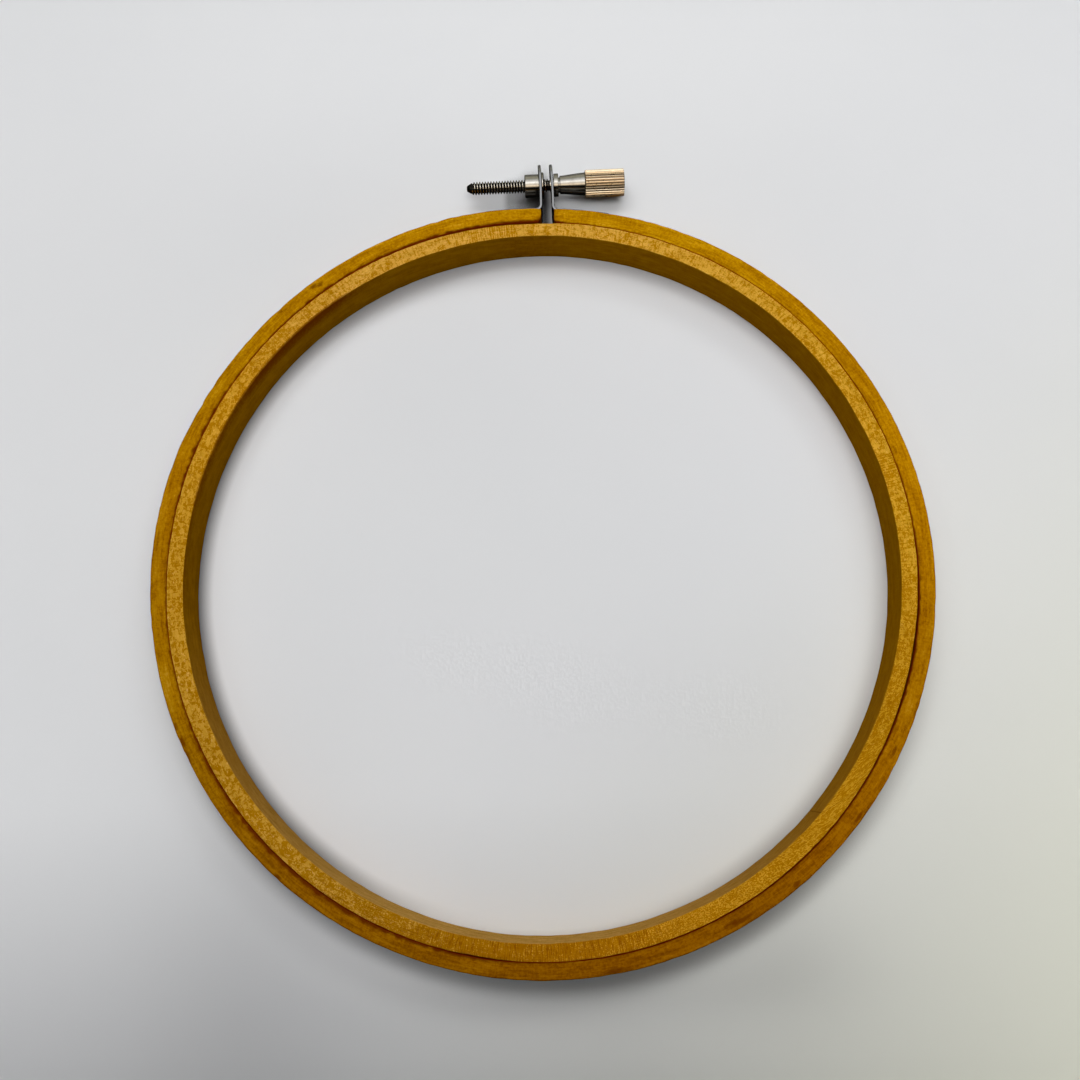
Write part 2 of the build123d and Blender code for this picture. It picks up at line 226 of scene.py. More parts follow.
def make_object(name, verts_mm, faces, corner=None, point=None, normals=None, flat_from=None):
    """Mesh object in metres.  corner and point are {name: values} of vectors;
    normals is one per corner; faces from flat_from on are flat shaded."""
    me = bpy.data.meshes.new(name)
    me.from_pydata([tuple(v) for v in np.asarray(verts_mm) * MM], [], faces)
    me.update()
    smooth = np.ones(len(me.polygons), bool)
    if flat_from is not None:
        smooth[flat_from:] = False
    me.polygons.foreach_set("use_smooth", smooth)
    for key, values in (corner or {}).items():
        a = me.attributes.new(key, "FLOAT_VECTOR", "CORNER")
        a.data.foreach_set("vector", np.asarray(values, np.float32).ravel())
    for key, values in (point or {}).items():
        a = me.attributes.new(key, "FLOAT_VECTOR", "POINT")
        a.data.foreach_set("vector", np.asarray(values, np.float32).ravel())
    if normals is not None:
        me.normals_split_custom_set([tuple(v) for v in normals])
    me.validate()
    me.update()
    ob = bpy.data.objects.new(name, me)
    scene.collection.objects.link(ob)
    return ob


def sweep(name, P, N, S, D, masks, closed, caps=(None, None)):
    """Solid from a grid of points P[station, column].  N are its normals, S the
    length along the grain at each station, D the (radial, height) place of each
    point, masks {name: [station, column, 3]}.  closed joins the last station to
    the first; caps are the outward directions of flat ends."""
    n, m = P.shape[:2]
    verts = list(P.reshape(-1, 3))
    i = np.arange(n if closed else n - 1)
    I, J = np.meshgrid(i, np.arange(m), indexing="ij")
    I, J = I.ravel(), J.ravel()
    I2, J2 = (I + 1) % n, (J + 1) % m
    quad_i = np.stack([I, I2, I2, I], 1)
    quad_j = np.stack([J, J, J2, J2], 1)
    step_on = np.stack([np.zeros_like(I), np.ones_like(I), np.ones_like(I), np.zeros_like(I)], 1)
    a = P[quad_i[:, 0], quad_j[:, 0]]
    b = P[quad_i[:, 1], quad_j[:, 1]]
    c = P[quad_i[:, 2], quad_j[:, 2]]
    facing = np.einsum("ij,ij->i", np.cross(b - a, c - a), N[I, J]).sum()
    if facing < 0:
        quad_i, quad_j, step_on = quad_i[:, ::-1], quad_j[:, ::-1], step_on[:, ::-1]
    faces = [tuple(f) for f in (quad_i * m + quad_j).tolist()]
    s_next = np.append(S[1:], S[-1] + (S[-1] - S[-2]))
    if closed:
        s_next[-1] = S[-1] + np.linalg.norm(P[0, 0] - P[-1, 0])
    along = np.where(step_on == 1, s_next[I][:, None], S[I][:, None])
    grain = np.stack([along, D[quad_i, quad_j, 0], D[quad_i, quad_j, 1]], -1).reshape(-1, 3)
    normals = N[quad_i, quad_j].reshape(-1, 3)
    flat_from = None
    if not closed:
        flat_from = len(faces)
        extra_g, extra_n = [], []
        for row, outward in ((0, caps[0]), (n - 1, caps[1])):
            # the end face: rings that shrink to the middle
            ring_ids = [row * m + j for j in range(m)]
            ring_pts, ring_d = P[row], D[row]
            mid, mid_d = ring_pts.mean(0), ring_d.mean(0)
            direction = np.array(outward)
            for k in (0.55, 0.2):
                pts = mid + (P[row] - mid) * k
                dd = mid_d + (D[row] - mid_d) * k
                new = list(range(len(verts), len(verts) + m))
                verts.extend(pts)
                for j in range(m):
                    j2 = (j + 1) % m
                    f = [ring_ids[j], ring_ids[j2], new[j2], new[j]]
                    q = [ring_pts[j], ring_pts[j2], pts[j2], pts[j]]
                    qd = [ring_d[j], ring_d[j2], dd[j2], dd[j]]
                    if np.dot(np.cross(q[1] - q[0], q[2] - q[0]), direction) < 0:
                        f, qd = f[::-1], qd[::-1]
                    faces.append(tuple(f))
                    extra_g += [(S[row], x[0], x[1]) for x in qd]
                    extra_n += [direction] * 4
                ring_ids, ring_pts, ring_d = new, pts, dd
            f, qd = list(ring_ids), list(ring_d)
            if np.dot(np.cross(ring_pts[m // 4] - ring_pts[0], ring_pts[m // 2] - ring_pts[0]), direction) < 0:
                f, qd = f[::-1], qd[::-1]
            faces.append(tuple(f))
            extra_g += [(S[row], x[0], x[1]) for x in qd]
            extra_n += [direction] * m
        grain = np.concatenate([grain, np.array(extra_g)])
        normals = np.concatenate([normals, np.array(extra_n)])
    point = {}
    for key, values in masks.items():
        v = list(values.reshape(-1, 3))
        if not closed:
            for row in (0, n - 1):
                for _ in range(2):
                    v.extend(values[row])
        point[key] = np.array(v)
    return make_object(name, np.array(verts), faces, {"grain": grain}, point, normals)


def place(B, R, Z):
    t = np.radians(B)
    return np.stack([R * np.sin(t), R * np.cos(t), Z], -1)


# ------------------------------------------------------------ inner ring mesh
SCARF = 131.2          # middle of the glued scarf joint
SCARF_LEAN = 3.2       # degrees from the middle of the strip to either face


def build_inner():
    mid_r = 74.5
    total = 2 * math.pi * mid_r
    count = 1040
    s = np.arange(count) / count * total
    near = np.array([0.06, 0.12, 0.25])
    s = np.unique(np.round(np.concatenate([s, near, total - near]), 4))
    b = SCARF + s / total * 360
    r_out = gap_line(b) - gap_width(b) / 2 + 0.012 * ripple(3, 20, 160, 0.3)(b)
    r_in = inner_edge(b) + 0.018 * ripple(4, 12, 140, 0.5)(b)
    z_hi = HIGH - 0.03 + 0.03 * ripple(5, 3, 60, 0.8)(b)
    z_lo = np.full_like(b, 0.0)
    worn = window(b, 281, 327, 3)
    cit = 0.16 + 0.05 * ripple(6, 30, 220, 0.2)(b) + worn * (0.10 + 0.09 * ripple(7, 60, 260, 0.1)(b))
    for at, w, size in ((20.5, 0.25, 0.2), (62, 0.3, 0.15), (118, 0.4, 0.18), (152.4, 0.3, 0.2),
                        (171.5, 0.25, 0.15), (198.6, 0.3, 0.2), (237.5, 0.35, 0.22),
                        (259.8, 0.4, 0.25), (272.4, 0.5, 0.15), (297.7, 0.4, 0.3), (330.3, 0.35, 0.25)):
        cit = cit + size * bump_at(b, at, w)
    crisp = window(b, 4, 90, 4) + window(b, 246, 334, 4)
    cot = 0.15 - 0.05 * crisp + 0.03 * ripple(8, 30, 220, 0.2)(b)
    for at, w, size in ((33, 0.3, 0.15), (95.8, 0.4, 0.12), (140.5, 0.3, 0.14), (192.3, 0.5, 0.2),
                        (216.3, 0.3, 0.12), (283, 0.3, 0.15), (348.7, 0.35, 0.15)):
        cot = cot + size * bump_at(b, at, w)
    cit, cot = np.clip(cit, 0.07, 0.75), np.clip(cot, 0.07, 0.6)
    low = np.full_like(b, 0.18)
    R, Z, prof = profile(r_in, r_out, z_lo, z_hi, cit, cot, low, low, 10, 13, 7)
    # the strip's ends overlap in a slanted joint, so the stations lean there
    lean = -SCARF_LEAN * bump_at(b, SCARF, 9.0)
    u = (R - 74.47) / 1.6
    B = b[:, None] + lean[:, None] * u
    P = place(B, R, Z)
    # a narrow sunken line where the strip's two ends meet
    dist = np.minimum(s, total - s)
    t = np.radians(B)
    outward = np.stack([np.sin(t) * prof[None, :, 0], np.cos(t) * prof[None, :, 0],
                        np.broadcast_to(prof[None, :, 1], B.shape)], -1)
    sink = -0.035 * np.exp(-((dist / 0.09) ** 2))[:, None]
    wave = 0.012 * smooth_noise(P * np.array([1, 1, 2.0]), 3.0, 1.0)
    free = np.clip(1 - np.abs(Z - HIGH / 2) / (HIGH / 2) < 0.02, 0, 1)
    rest = (Z < 0.4)
    P = P + outward * (sink + np.where(rest, 0, wave))[..., None]
    P[..., 2] = np.maximum(P[..., 2], 0.0)
    # splinter at the lower edge of the inside face
    hit = bump_at(B, 335.7, 0.28) * np.exp(-((Z - 0.25) / 0.5) ** 2) * (prof[None, :, 0] < -0.5)
    P = P - outward * 0.22 * hit[..., None] * np.array([1, 1, 0])
    N = grid_normals(P, True, outward)
    D = np.stack([R - 72.9, Z], -1)
    face = np.stack([np.broadcast_to(np.clip(prof[:, 1], 0, 1) ** 2, B.shape),
                     np.broadcast_to(np.clip(-prof[:, 0], 0, 1) ** 2, B.shape),
                     np.broadcast_to(np.clip(prof[:, 0], 0, 1) ** 2, B.shape)], -1)
    return sweep("inner_ring_wood", P, N, s, D, {"face": face, **inner_marks(B, R, Z, prof)}, True)


def inner_marks(B, R, Z, prof):
    """marks: tone, red-brown stain, pale bias; more: saw marks, long streaks,
    tan, a painted sheen on the lower inside face; figure: patches, strokes across, small flecks;
    level: top, inside face, redness."""
    top = np.clip(prof[None, :, 1], 0, 1)
    wall = np.clip(-prof[None, :, 0], 0, 1)
    tone = curve([(0, 0.05), (60, 0.0), (110, 0.05), (140, 0.12), (165, -0.08), (185, -0.12),
                  (205, -0.05), (240, 0.0), (300, 0.06), (340, 0.1)], 5)(B)
    pale = curve([(0, 0.06), (20, 0.07), (35, 0.09), (60, 0.02), (80, 0.05), (95, 0.04),
                  (110, -0.02), (135, -0.02), (155, -0.02), (166, -0.06), (178, -0.11),
                  (196, -0.11), (206, -0.04), (225, 0.0), (240, 0.03), (262, 0.08),
                  (275, 0.05), (290, 0.04), (305, 0.0), (318, 0.0), (335, 0.08), (350, 0.1)], 3)(B)
    # red-brown along the inner top edge and in the upper part of the inside face
    u = (R - 72.6)
    edge = np.exp(-np.clip(u - 0.05, 0, None) / 0.28)
    rim = top * edge * window(B, 281, 327, 2.5) * 0.9
    rim = rim + top * edge * 0.35 * window(B, 327, 358, 3) + top * edge * 0.3 * window(B, 255, 281, 3)
    rim = np.maximum(rim, top * edge * 0.5 * window(B, 4, 12, 2))
    upper = 1 / (1 + np.exp(-(Z - 6.2) / 0.9))
    lower = 1 / (1 + np.exp(-(Z - 5.2) / 1.1))
    band = wall * (window(B, 262, 336, 5) * upper * 0.52 + window(B, 282, 304, 5) * upper * 0.14
                   + window(B, 304, 327, 5) * (0.34 * lower + 0.06))
    band = band + wall * 0.42 * (bump_at(B, 2.5, 5) + 0.8 * bump_at(B, 78, 4) + 0.4 * bump_at(B, 61, 3)
                                 + 0.5 * bump_at(B, 100, 4) + 0.35 * bump_at(B, 110, 2) + 0.5 * bump_at(B, 356, 3))
    stain = np.maximum(rim, band)
    saw = (window(B, 346, 359, 2) * 0.8 + window(B, 74, 80, 1.5) * 0.9 + window(B, 164, 202, 4) * 0.45
           + window(B, 91, 100, 3) * 0.4 + window(B, 205, 240, 5) * 0.2 + window(B, 262, 285, 6) * 0.2
           + window(B, 10, 60, 6) * 0.2)
    streak = window(B, 199, 216, 2) * 1.0 + window(B, 283, 300, 3) * 0.3
    # painted sheen: the lower inside face, at about 135-240 degrees, is given a lighter tan where it catches the lamps
    tan = curve([(0, 0), (105, 0.0), (135, 0.10), (150, 0.40), (165, 0.75), (180, 0.95), (208, 0.90), (222, 0.60),
                 (240, 0.28), (262, 0.0)], 5)(B)
    cross = window(B, 163, 201, 4) * 1.0 + window(B, 100, 125, 6) * 0.3
    patches = curve([(0, 0.7), (30, 0.6), (60, 0.8), (90, 0.95), (105, 0.9), (120, 1.1), (140, 0.8), (165, 0.5),
                     (190, 0.4), (205, 0.8), (225, 1.25), (240, 1.4), (265, 1.25), (290, 1.1), (310, 0.7), (340, 0.7)], 4)(B)
    strokes = curve([(0, 0.5), (20, 0.65), (50, 0.7), (70, 0.45), (95, 0.8), (120, 0.5), (140, 0.3), (160, 0.3),
                     (180, 0.8), (200, 0.6), (220, 0.3), (260, 0.5), (300, 0.3), (320, 0.5), (350, 0.7)], 4)(B)
    small = curve([(0, 0.4), (60, 0.4), (100, 0.8), (120, 1.5), (145, 2.1), (165, 1.8), (180, 1.0), (200, 1.1),
                   (240, 0.5), (300, 0.4), (330, 0.5)], 4)(B)
    level_top = INNER_TOP(B)
    level_wall = 1.04 * INNER_WALL_TONE_AND_SHEEN(B)
    red = INNER_RED(B)
    shape = B.shape

    def pack(*parts):
        return np.stack([np.broadcast_to(p, shape) for p in parts], -1)

    return {"marks": pack(tone, stain, pale), "more": pack(saw, streak, tan),
            "figure": pack(patches, strokes, small), "level": pack(level_top, level_wall, red),
            "tint": pack(INNER_GREEN(B), INNER_BLUE(B), cross)}


# ------------------------------------------------------------ outer ring mesh
GAP_LEFT, GAP_RIGHT = 2.25, 4.37
SEAM_RIGHT, SEAM_LEFT = 171.8, 226.2


def end_shape(dist, r):
    """How far a rounded corner of radius r cuts back at a distance from the end."""
    x = np.clip(r - dist, 0, r)
    return r - np.sqrt(np.maximum(r * r - x * x, 0))


def outer_grid():
    mid_r = 78.0
    first, last = GAP_RIGHT, 360 + GAP_LEFT
    total = math.radians(last - first) * mid_r
    s = np.arange(1060) / 1059 * total
    fine = np.array([0.015, 0.05, 0.1, 0.17, 0.26, 0.36])
    seams = np.radians(np.array([SEAM_RIGHT, SEAM_LEFT]) - first) * mid_r
    s = np.unique(np.round(np.concatenate([s, fine, total - fine, seams]), 5))
    b = first + np.degrees(s / mid_r)
    end = np.minimum(s, total - s)
    r_in = gap_line(b) + gap_width(b) / 2 + 0.012 * ripple(13, 20, 160, 0.3)(b)
    r_out = outer_edge(b) + 0.016 * ripple(14, 12, 150, 0.5)(b)
    # the strip is a little thicker wood where the corner of each end is rounded off
    cut_in = end_shape(end, np.where(s < total / 2, 0.75, 1.1))
    cut_out = end_shape(end, 0.25)
    r_in = r_in + cut_in
    r_out = r_out - cut_out
    lift = end_shape(end, 0.12)
    z_hi = HIGH - 0.02 + 0.025 * ripple(15, 3, 60, 0.8)(b) - lift
    z_lo = lift
    # between the lug and the ring's end the edges are crisp
    cot = 0.40 + 0.05 * ripple(16, 25, 200, 0.2)(b)
    for at, w, size in ((12.5, 0.5, 0.2), (19.0, 0.4, 0.2), (47.5, 0.4, 0.15), (88.0, 0.6, 0.15),
                        (114, 0.4, 0.2), (139, 0.5, 0.15), (172, 0.6, 0.25), (206, 0.5, 0.15),
                        (221.5, 0.3, 0.3), (243.5, 0.8, 0.2), (260.5, 0.6, 0.15), (287.6, 0.7, 0.25),
                        (294.6, 1.6, 0.3), (297.8, 0.4, 0.35), (317, 0.4, 0.2), (345.5, 0.4, 0.25)):
        cot = cot + size * bump_at(b, at, w)
    crisp = window(b, 4, 90, 4) + window(b, 246, 334, 4)
    cit = 0.15 - 0.05 * crisp + 0.03 * ripple(17, 30, 220, 0.2)(b)
    for at, w, size in ((78, 0.4, 0.12), (128.0, 0.3, 0.2), (159.5, 0.4, 0.12), (189, 0.8, 0.15),
                        (232, 0.4, 0.15), (290.5, 0.4, 0.15), (301.5, 0.4, 0.18), (336, 0.5, 0.15)):
        cit = cit + size * bump_at(b, at, w)
    cot, cit = np.clip(cot, 0.12, 0.95), np.clip(cit, 0.07, 0.6)
    low = np.full_like(b, 0.2)
    R, Z, prof = profile(r_in, r_out, z_lo, z_hi, cit, cot, low, low, 11, 13, 7)
    B = np.broadcast_to(b[:, None], R.shape)
    P = place(B, R, Z)
    t = np.radians(B)
    outward = np.stack([np.sin(t) * prof[None, :, 0], np.cos(t) * prof[None, :, 0],
                        np.broadcast_to(prof[None, :, 1], B.shape)], -1)
    wave = 0.013 * smooth_noise(P * np.array([1, 1, 2.0]), 3.2, 2.0)
    wave = np.where((Z < 0.4) | (end[:, None] < 1.5), 0, wave)
    P = P + outward * wave[..., None]
    P[..., 2] = np.maximum(P[..., 2], 0.0)
    N = grid_normals(P, False, outward)
    D = np.stack([R - 76.2, Z], -1)
    face = np.stack([np.broadcast_to(np.clip(prof[:, 1], 0, 1) ** 2, B.shape),
                     np.broadcast_to(np.clip(-prof[:, 0], 0, 1) ** 2, B.shape),
                     np.broadcast_to(np.clip(prof[:, 0], 0, 1) ** 2, B.shape)], -1)
    return P, N, s, b, D, {"face": face, **outer_marks(B, R, Z, prof, r_in, r_out, end)}


def outer_marks(B, R, Z, prof, r_in, r_out, end):
    """marks: tone, maroon stain with painted shade at the gap's corners, brown smudge; more: end shadow, flecks, level.
    """
    top = np.clip(prof[None, :, 1], 0, 1)
    tone = curve([(10, 0.02), (45, 0.0), (80, 0.0), (100, 0.0), (125, -0.03), (150, -0.05),
                  (175, -0.05), (200, -0.02), (225, 0.0), (245, 0.0), (262, 0.05), (290, 0.0),
                  (320, 0.0), (350, 0.03)], 5)(B) + 0.14 * window(B, 249.5, 257.5, 1.5)
    u = R - r_in[:, None]
    v = r_out[:, None] - R
    strength = curve([(5, 0.85), (9, 0.4), (20, 0.50), (45, 0.42), (62, 0.50), (90, 0.60), (105, 0.70),
                      (125, 0.65), (160, 0.65), (180, 0.45), (188, 0.75), (194, 0.95), (212, 1.05),
                      (228, 1.05), (242, 0.85), (252, 0.6), (268, 0.55), (276, 0.55), (285, 0.80),
                      (293, 0.85), (302, 0.80), (308, 0.45), (316, 0.65), (322, 0.85), (333, 0.95), (345, 0.88),
                      (356, 0.85)], 2)(B)
    strength = strength * (1 + 0.14 * ripple(33, 60, 260, 0.2)(B))
    reach = curve([(5, 0.6), (15, 0.22), (60, 0.25), (98, 0.45), (108, 0.40), (120, 0.30), (180, 0.25), (196, 0.6),
                   (215, 0.8), (230, 0.75), (243, 0.6), (255, 0.5), (275, 0.5), (285, 0.65), (292, 0.75), (303, 0.65),
                   (312, 0.40), (322, 0.60), (336, 0.62), (348, 0.45), (356, 0.50)], 2)(B)
    stain = top * strength * np.exp(-np.clip(u - 0.02, 0, None) / reach)
    # corners at the gap: darker, partly stain and partly painted shade in the rounded-off corners
    stain = np.maximum(stain, 0.95 * np.exp(-(end[:, None] / 0.55) ** 2) * np.exp(-np.clip(u, 0, None) / 0.8))
    # red-brown along the outer edge
    rim = np.exp(-np.clip(v - 0.02, 0, None) / 0.22)
    lip = (window(B, 286.5, 289, 0.6) + window(B, 292, 297.4, 0.8) + 0.8 * bump_at(B, 298, 0.3)
           + 0.35 * window(B, 165, 180, 3) + 0.3 * bump_at(B, 316.7, 0.3) + 0.3 * bump_at(B, 280, 1)
           + 0.25 * bump_at(B, 320, 0.4) + 0.3 * bump_at(B, 326.8, 0.3))
    stain = np.maximum(stain, lip * rim * 0.85)
    smudge = np.zeros(B.shape)
    # bearing, radius, half length in degrees, half width in mm, strength
    for at, r, w, h, k in ((143.9, 78.9, 0.45, 0.34, 1.1), (153.0, 78.5, 1.7, 0.36, 0.85),
                           (154.2, 78.0, 1.2, 0.30, 0.75), (120.6, 78.4, 0.9, 0.30, 0.80),
                           (116.8, 78.6, 1.3, 0.35, 0.45), (131.2, 78.9, 0.8, 0.25, 0.95),
                           (221.5, 79.0, 0.40, 0.30, 1.1), (243.0, 79.1, 1.1, 0.30, 0.80),
                           (245.2, 78.9, 0.6, 0.32, 0.95), (247.6, 79.0, 0.6, 0.30, 0.70),
                           (323.4, 78.3, 0.6, 0.50, 0.75), (324.4, 77.8, 0.5, 0.40, 0.80),
                           (316.8, 78.6, 0.4, 0.45, 0.55), (183.0, 78.8, 1.0, 0.45, 0.35),
                           (98.0, 77.4, 2.5, 0.28, 0.30), (164.5, 78.2, 2.4, 0.35, 0.45),
                           (168.5, 77.6, 1.6, 0.30, 0.45), (172.0, 79.0, 1.6, 0.34, 0.75),
                           (203.5, 77.9, 2.2, 0.34, 0.45), (213.5, 78.2, 1.5, 0.30, 0.35),
                           (26.4, 78.2, 0.9, 0.36, 0.35), (74.2, 77.2, 0.8, 0.32, 0.50),
                           (307.3, 78.0, 1.1, 0.32, 0.35), (335.8, 77.2, 1.3, 0.35, 0.42),
                           (256.5, 77.0, 2.0, 0.28, 0.42), (262.5, 77.2, 2.2, 0.25, 0.50)):
        d = (B - at + 180) % 360 - 180
        smudge = np.maximum(smudge, k * np.exp(-0.5 * (d / w) ** 2 - 0.5 * ((R - r) / h) ** 2))
    smudge = smudge * top
    shade = np.exp(-(end[:, None] / 0.5) ** 2) + 0 * B
    fleck = curve([(5, 0.2), (90, 0.3), (130, 0.6), (160, 0.8), (185, 0.6), (215, 0.6), (250, 0.4), (300, 0.3)], 6)(B)
    level = OUTER_TOP(B)
    shape = B.shape

    def pack(*parts):
        return np.stack([np.broadcast_to(p, shape) for p in parts], -1)

    return {"marks": pack(tone, stain, smudge), "more": pack(shade, fleck, level),
            "tint": pack(OUTER_GREEN(B), OUTER_GREEN(B), 0.0)}


def build_outer():
    P, N, s, b, D, masks = outer_grid()
    cut_r = int(np.argmin(np.abs(b - SEAM_RIGHT)))
    cut_l = int(np.argmin(np.abs(b - SEAM_LEFT)))
    made = []
    for name, lo, hi in (("outer_ring_right_arm", 0, cut_r), ("outer_ring_foot_arc", cut_r, cut_l),
                         ("outer_ring_left_arm", cut_l, len(b) - 1)):
        part = slice(lo, hi + 1)

        def tangent(i):
            t = math.radians(b[i])
            return np.array([math.cos(t), -math.sin(t), 0.0])

        made.append(sweep(name, P[part], N[part], s[part], D[part],
                          {k: v[part] for k, v in masks.items()}, False,
                          (-tangent(lo), tangent(hi))))
    return made


# ---------------------------------------------------------------- metal meshes
AX_Y, AX_Z = 87.46, 4.75


def lathe(name, x, r, seg, wobble=None, closed_profile=False, turn_seed=0.0):
    """Turned piece about the screw's line.  r is one radius a station, or
    [station, segment].  The ends close on the axis, or on each other."""
    x = np.asarray(x, float)
    r = np.asarray(r, float)
    if r.ndim == 1:
        r = np.repeat(r[:, None], seg, 1)
    a = np.arange(seg) / seg * 2 * math.pi
    P = np.stack([np.repeat(x[:, None], seg, 1), AX_Y + r * np.cos(a), AX_Z + r * np.sin(a)], -1)
    n = len(x)
    verts = list(P.reshape(-1, 3))
    faces = []
    rows = range(n if closed_profile else n - 1)
    for i in rows:
        i2 = (i + 1) % n
        for j in range(seg):
            j2 = (j + 1) % seg
            faces.append((i * seg + j, i * seg + j2, i2 * seg + j2, i2 * seg + j))
    if not closed_profile:
        for row, flip in ((0, False), (n - 1, True)):
            c = len(verts)
            verts.append(np.array([x[row], AX_Y, AX_Z]))
            for j in range(seg):
                f = (row * seg + j, c, row * seg + (j + 1) % seg)
                faces.append(f[::-1] if flip else f)
    verts = np.array(verts)
    vol = 0.0
    for f in faces[: len(faces)]:
        p = verts[list(f)]
        vol += np.dot(p[0], np.cross(p[1], p[2]))
        if len(f) == 4:
            vol += np.dot(p[0], np.cross(p[2], p[3]))
    if vol < 0:
        faces = [f[::-1] for f in faces]
    rel = verts - np.array([0, AX_Y, AX_Z])
    rad = np.hypot(rel[:, 1], rel[:, 2])
    turn = np.stack([rel[:, 0], rel[:, 1], rel[:, 2]], -1)
    ob = make_object(name, verts, faces, None, {"turn": turn})
    sharpen(ob, 28)
    return ob


def sharpen(ob, degrees):
    """Marks edges that bend more than an angle as sharp."""
    me = ob.data
    import bmesh

    bm = bmesh.new()
    bm.from_mesh(me)
    for e in bm.edges:
        if len(e.link_faces) == 2 and e.calc_face_angle(0) > math.radians(degrees):
            e.smooth = False
    bm.to_mesh(me)
    bm.free()


def rounded(points, r=0.08, steps=4):
    """Rounds the corners of a profile of (x, radius) points."""
    out = []
    n = len(points)
    for i, p in enumerate(points):
        if i == 0 or i == n - 1 or (len(p) > 2 and p[2] == 0):
            out.append(p[:2])
            continue
        rr = p[2] if len(p) > 2 else r
        a, b, c = np.array(points[i - 1][:2]), np.array(p[:2]), np.array(points[i + 1][:2])
        la, lc = np.linalg.norm(a - b), np.linalg.norm(c - b)
        k = min(rr, la * 0.48, lc * 0.48)
        pa, pc = b + (a - b) / la * k, b + (c - b) / lc * k
        for t in np.linspace(0, 1, steps + 1):
            out.append(tuple((1 - t) ** 2 * pa + 2 * t * (1 - t) * b + t * t * pc))
    return out


PITCH = 0.635


def thread_radius(x, phi, crest=1.4225, depth=0.385):
    """Radius of a right-hand thread at a place along and round the axis."""
    t = (x / PITCH - phi / (2 * math.pi)) % 1.0
    h = np.abs(t - 0.5) * 2            # 0 at the crest's middle, 1 at the root's
    flank = np.clip((h - 0.16) / (0.80 - 0.16), 0, 1)
    flank = flank * flank * (3 - 2 * flank) * 0.35 + flank * 0.65
    return crest - depth * flank


def build_screw():
    seg = 64
    phi = np.arange(seg) / seg * 2 * math.pi
    # threaded part, from the point to the shank
    x = np.concatenate([np.array([-13.37, -13.34, -13.25]), np.arange(-13.15, 5.25, PITCH / 15)])
    X, PH = np.meshgrid(x, phi, indexing="ij")
    thread = thread_radius(X, PH)
    cone = 0.60 + (X + 13.37) * 0.54
    cone = np.where(X < -13.3, cone - 0.12 * np.clip((-13.25 - X) / 0.12, 0, 1), cone)
    body = np.minimum(thread, cone)
    runout = np.clip((X - 4.75) / 0.4, 0, 1)
    body = body * (1 - runout) + 1.12 * runout
    rest = rounded([(5.3, 1.12), (5.36, 1.40), (6.20, 1.40, 0), (6.20, 2.50, 0.10), (7.24, 2.50, 0.16),
                    (7.24, 1.66, 0.05), (7.56, 1.66, 0.06), (7.60, 1.95, 0.10), (8.1, 1.99, 0.3),
                    (13.16, 2.50, 0.05), (13.20, 2.42)], 0.08)
    xr = np.array([p[0] for p in rest])
    rr = np.repeat(np.array([p[1] for p in rest])[:, None], seg, 1)
    xs = np.concatenate([x, xr])
    rs = np.concatenate([body, rr])
    keep = np.concatenate([[True], np.diff(xs) >= -1e-9])
    shank = lathe("thumb_screw_shank", xs[keep], rs[keep], seg)
    # knurled head
    count, per = 30, 10
    seg = count * per
    rng = np.random.default_rng(31)
    tall = 2.97 + rng.uniform(-0.025, 0.02, count)
    deep = 2.72 + rng.uniform(-0.02, 0.02, count)
    ring = []
    for i in range(count):
        for k in range(per):
            t = k / per
            w = 0.5 - 0.5 * math.cos(2 * math.pi * t)
            w = w * w * (3 - 2 * w)
            hi = tall[i]
            lo = deep[i] * (1 - t) + deep[(i + 1) % count] * t
            ring.append(lo + (hi - lo) * w)
    ring = np.array(ring)
    hx, hr = [], []

    def station(xx, cap):
        hx.append(xx)
        hr.append(np.minimum(ring, cap))

    station(13.20, 2.2)
    for k in range(5):
        a = k / 4
        station(13.20 + 0.04 * a, 2.30 + 0.34 * a)
    for k in range(1, 6):
        a = math.radians(90 * k / 5)
        station(13.24 + 0.30 * (1 - math.cos(a)), 2.64 + 0.36 * math.sin(a))
    for k in range(1, 24):
        station(13.54 + (21.72 - 13.54) * k / 24, 9.0)
    for k in range(6):
        a = math.radians(90 * k / 5)
        station(21.72 + 0.26 * math.sin(a), 2.64 + 0.36 * math.cos(a))
    for xx, cap in ((21.99, 2.52), (22.0, 2.35), (21.97, 2.1), (21.93, 1.6), (21.92, 0.8)):
        station(xx, cap)
    head = lathe("thumb_screw_head", np.array(hx), np.array(hr), seg)
    return shank, head


def build_nut():
    prof = rounded([(-0.30, 1.82), (-0.32, 2.34, 0.10), (-0.16, 2.50, 0.12), (2.86, 2.50, 0.05),
                    (2.86, 2.08, 0), (3.46, 2.08, 0), (3.46, 2.80, 0.05), (3.56, 2.88, 0.08),
                    (3.84, 2.88, 0.15), (4.01, 2.60, 0.18), (4.01, 1.86, 0.05), (3.85, 1.69, 0.05),
                    (-0.14, 1.69, 0.05), (-0.30, 1.82)], 0.06)
    prof = prof[:-1]
    return lathe("barrel_nut_turned", [p[0] for p in prof], [p[1] for p in prof], 80, closed_profile=True)


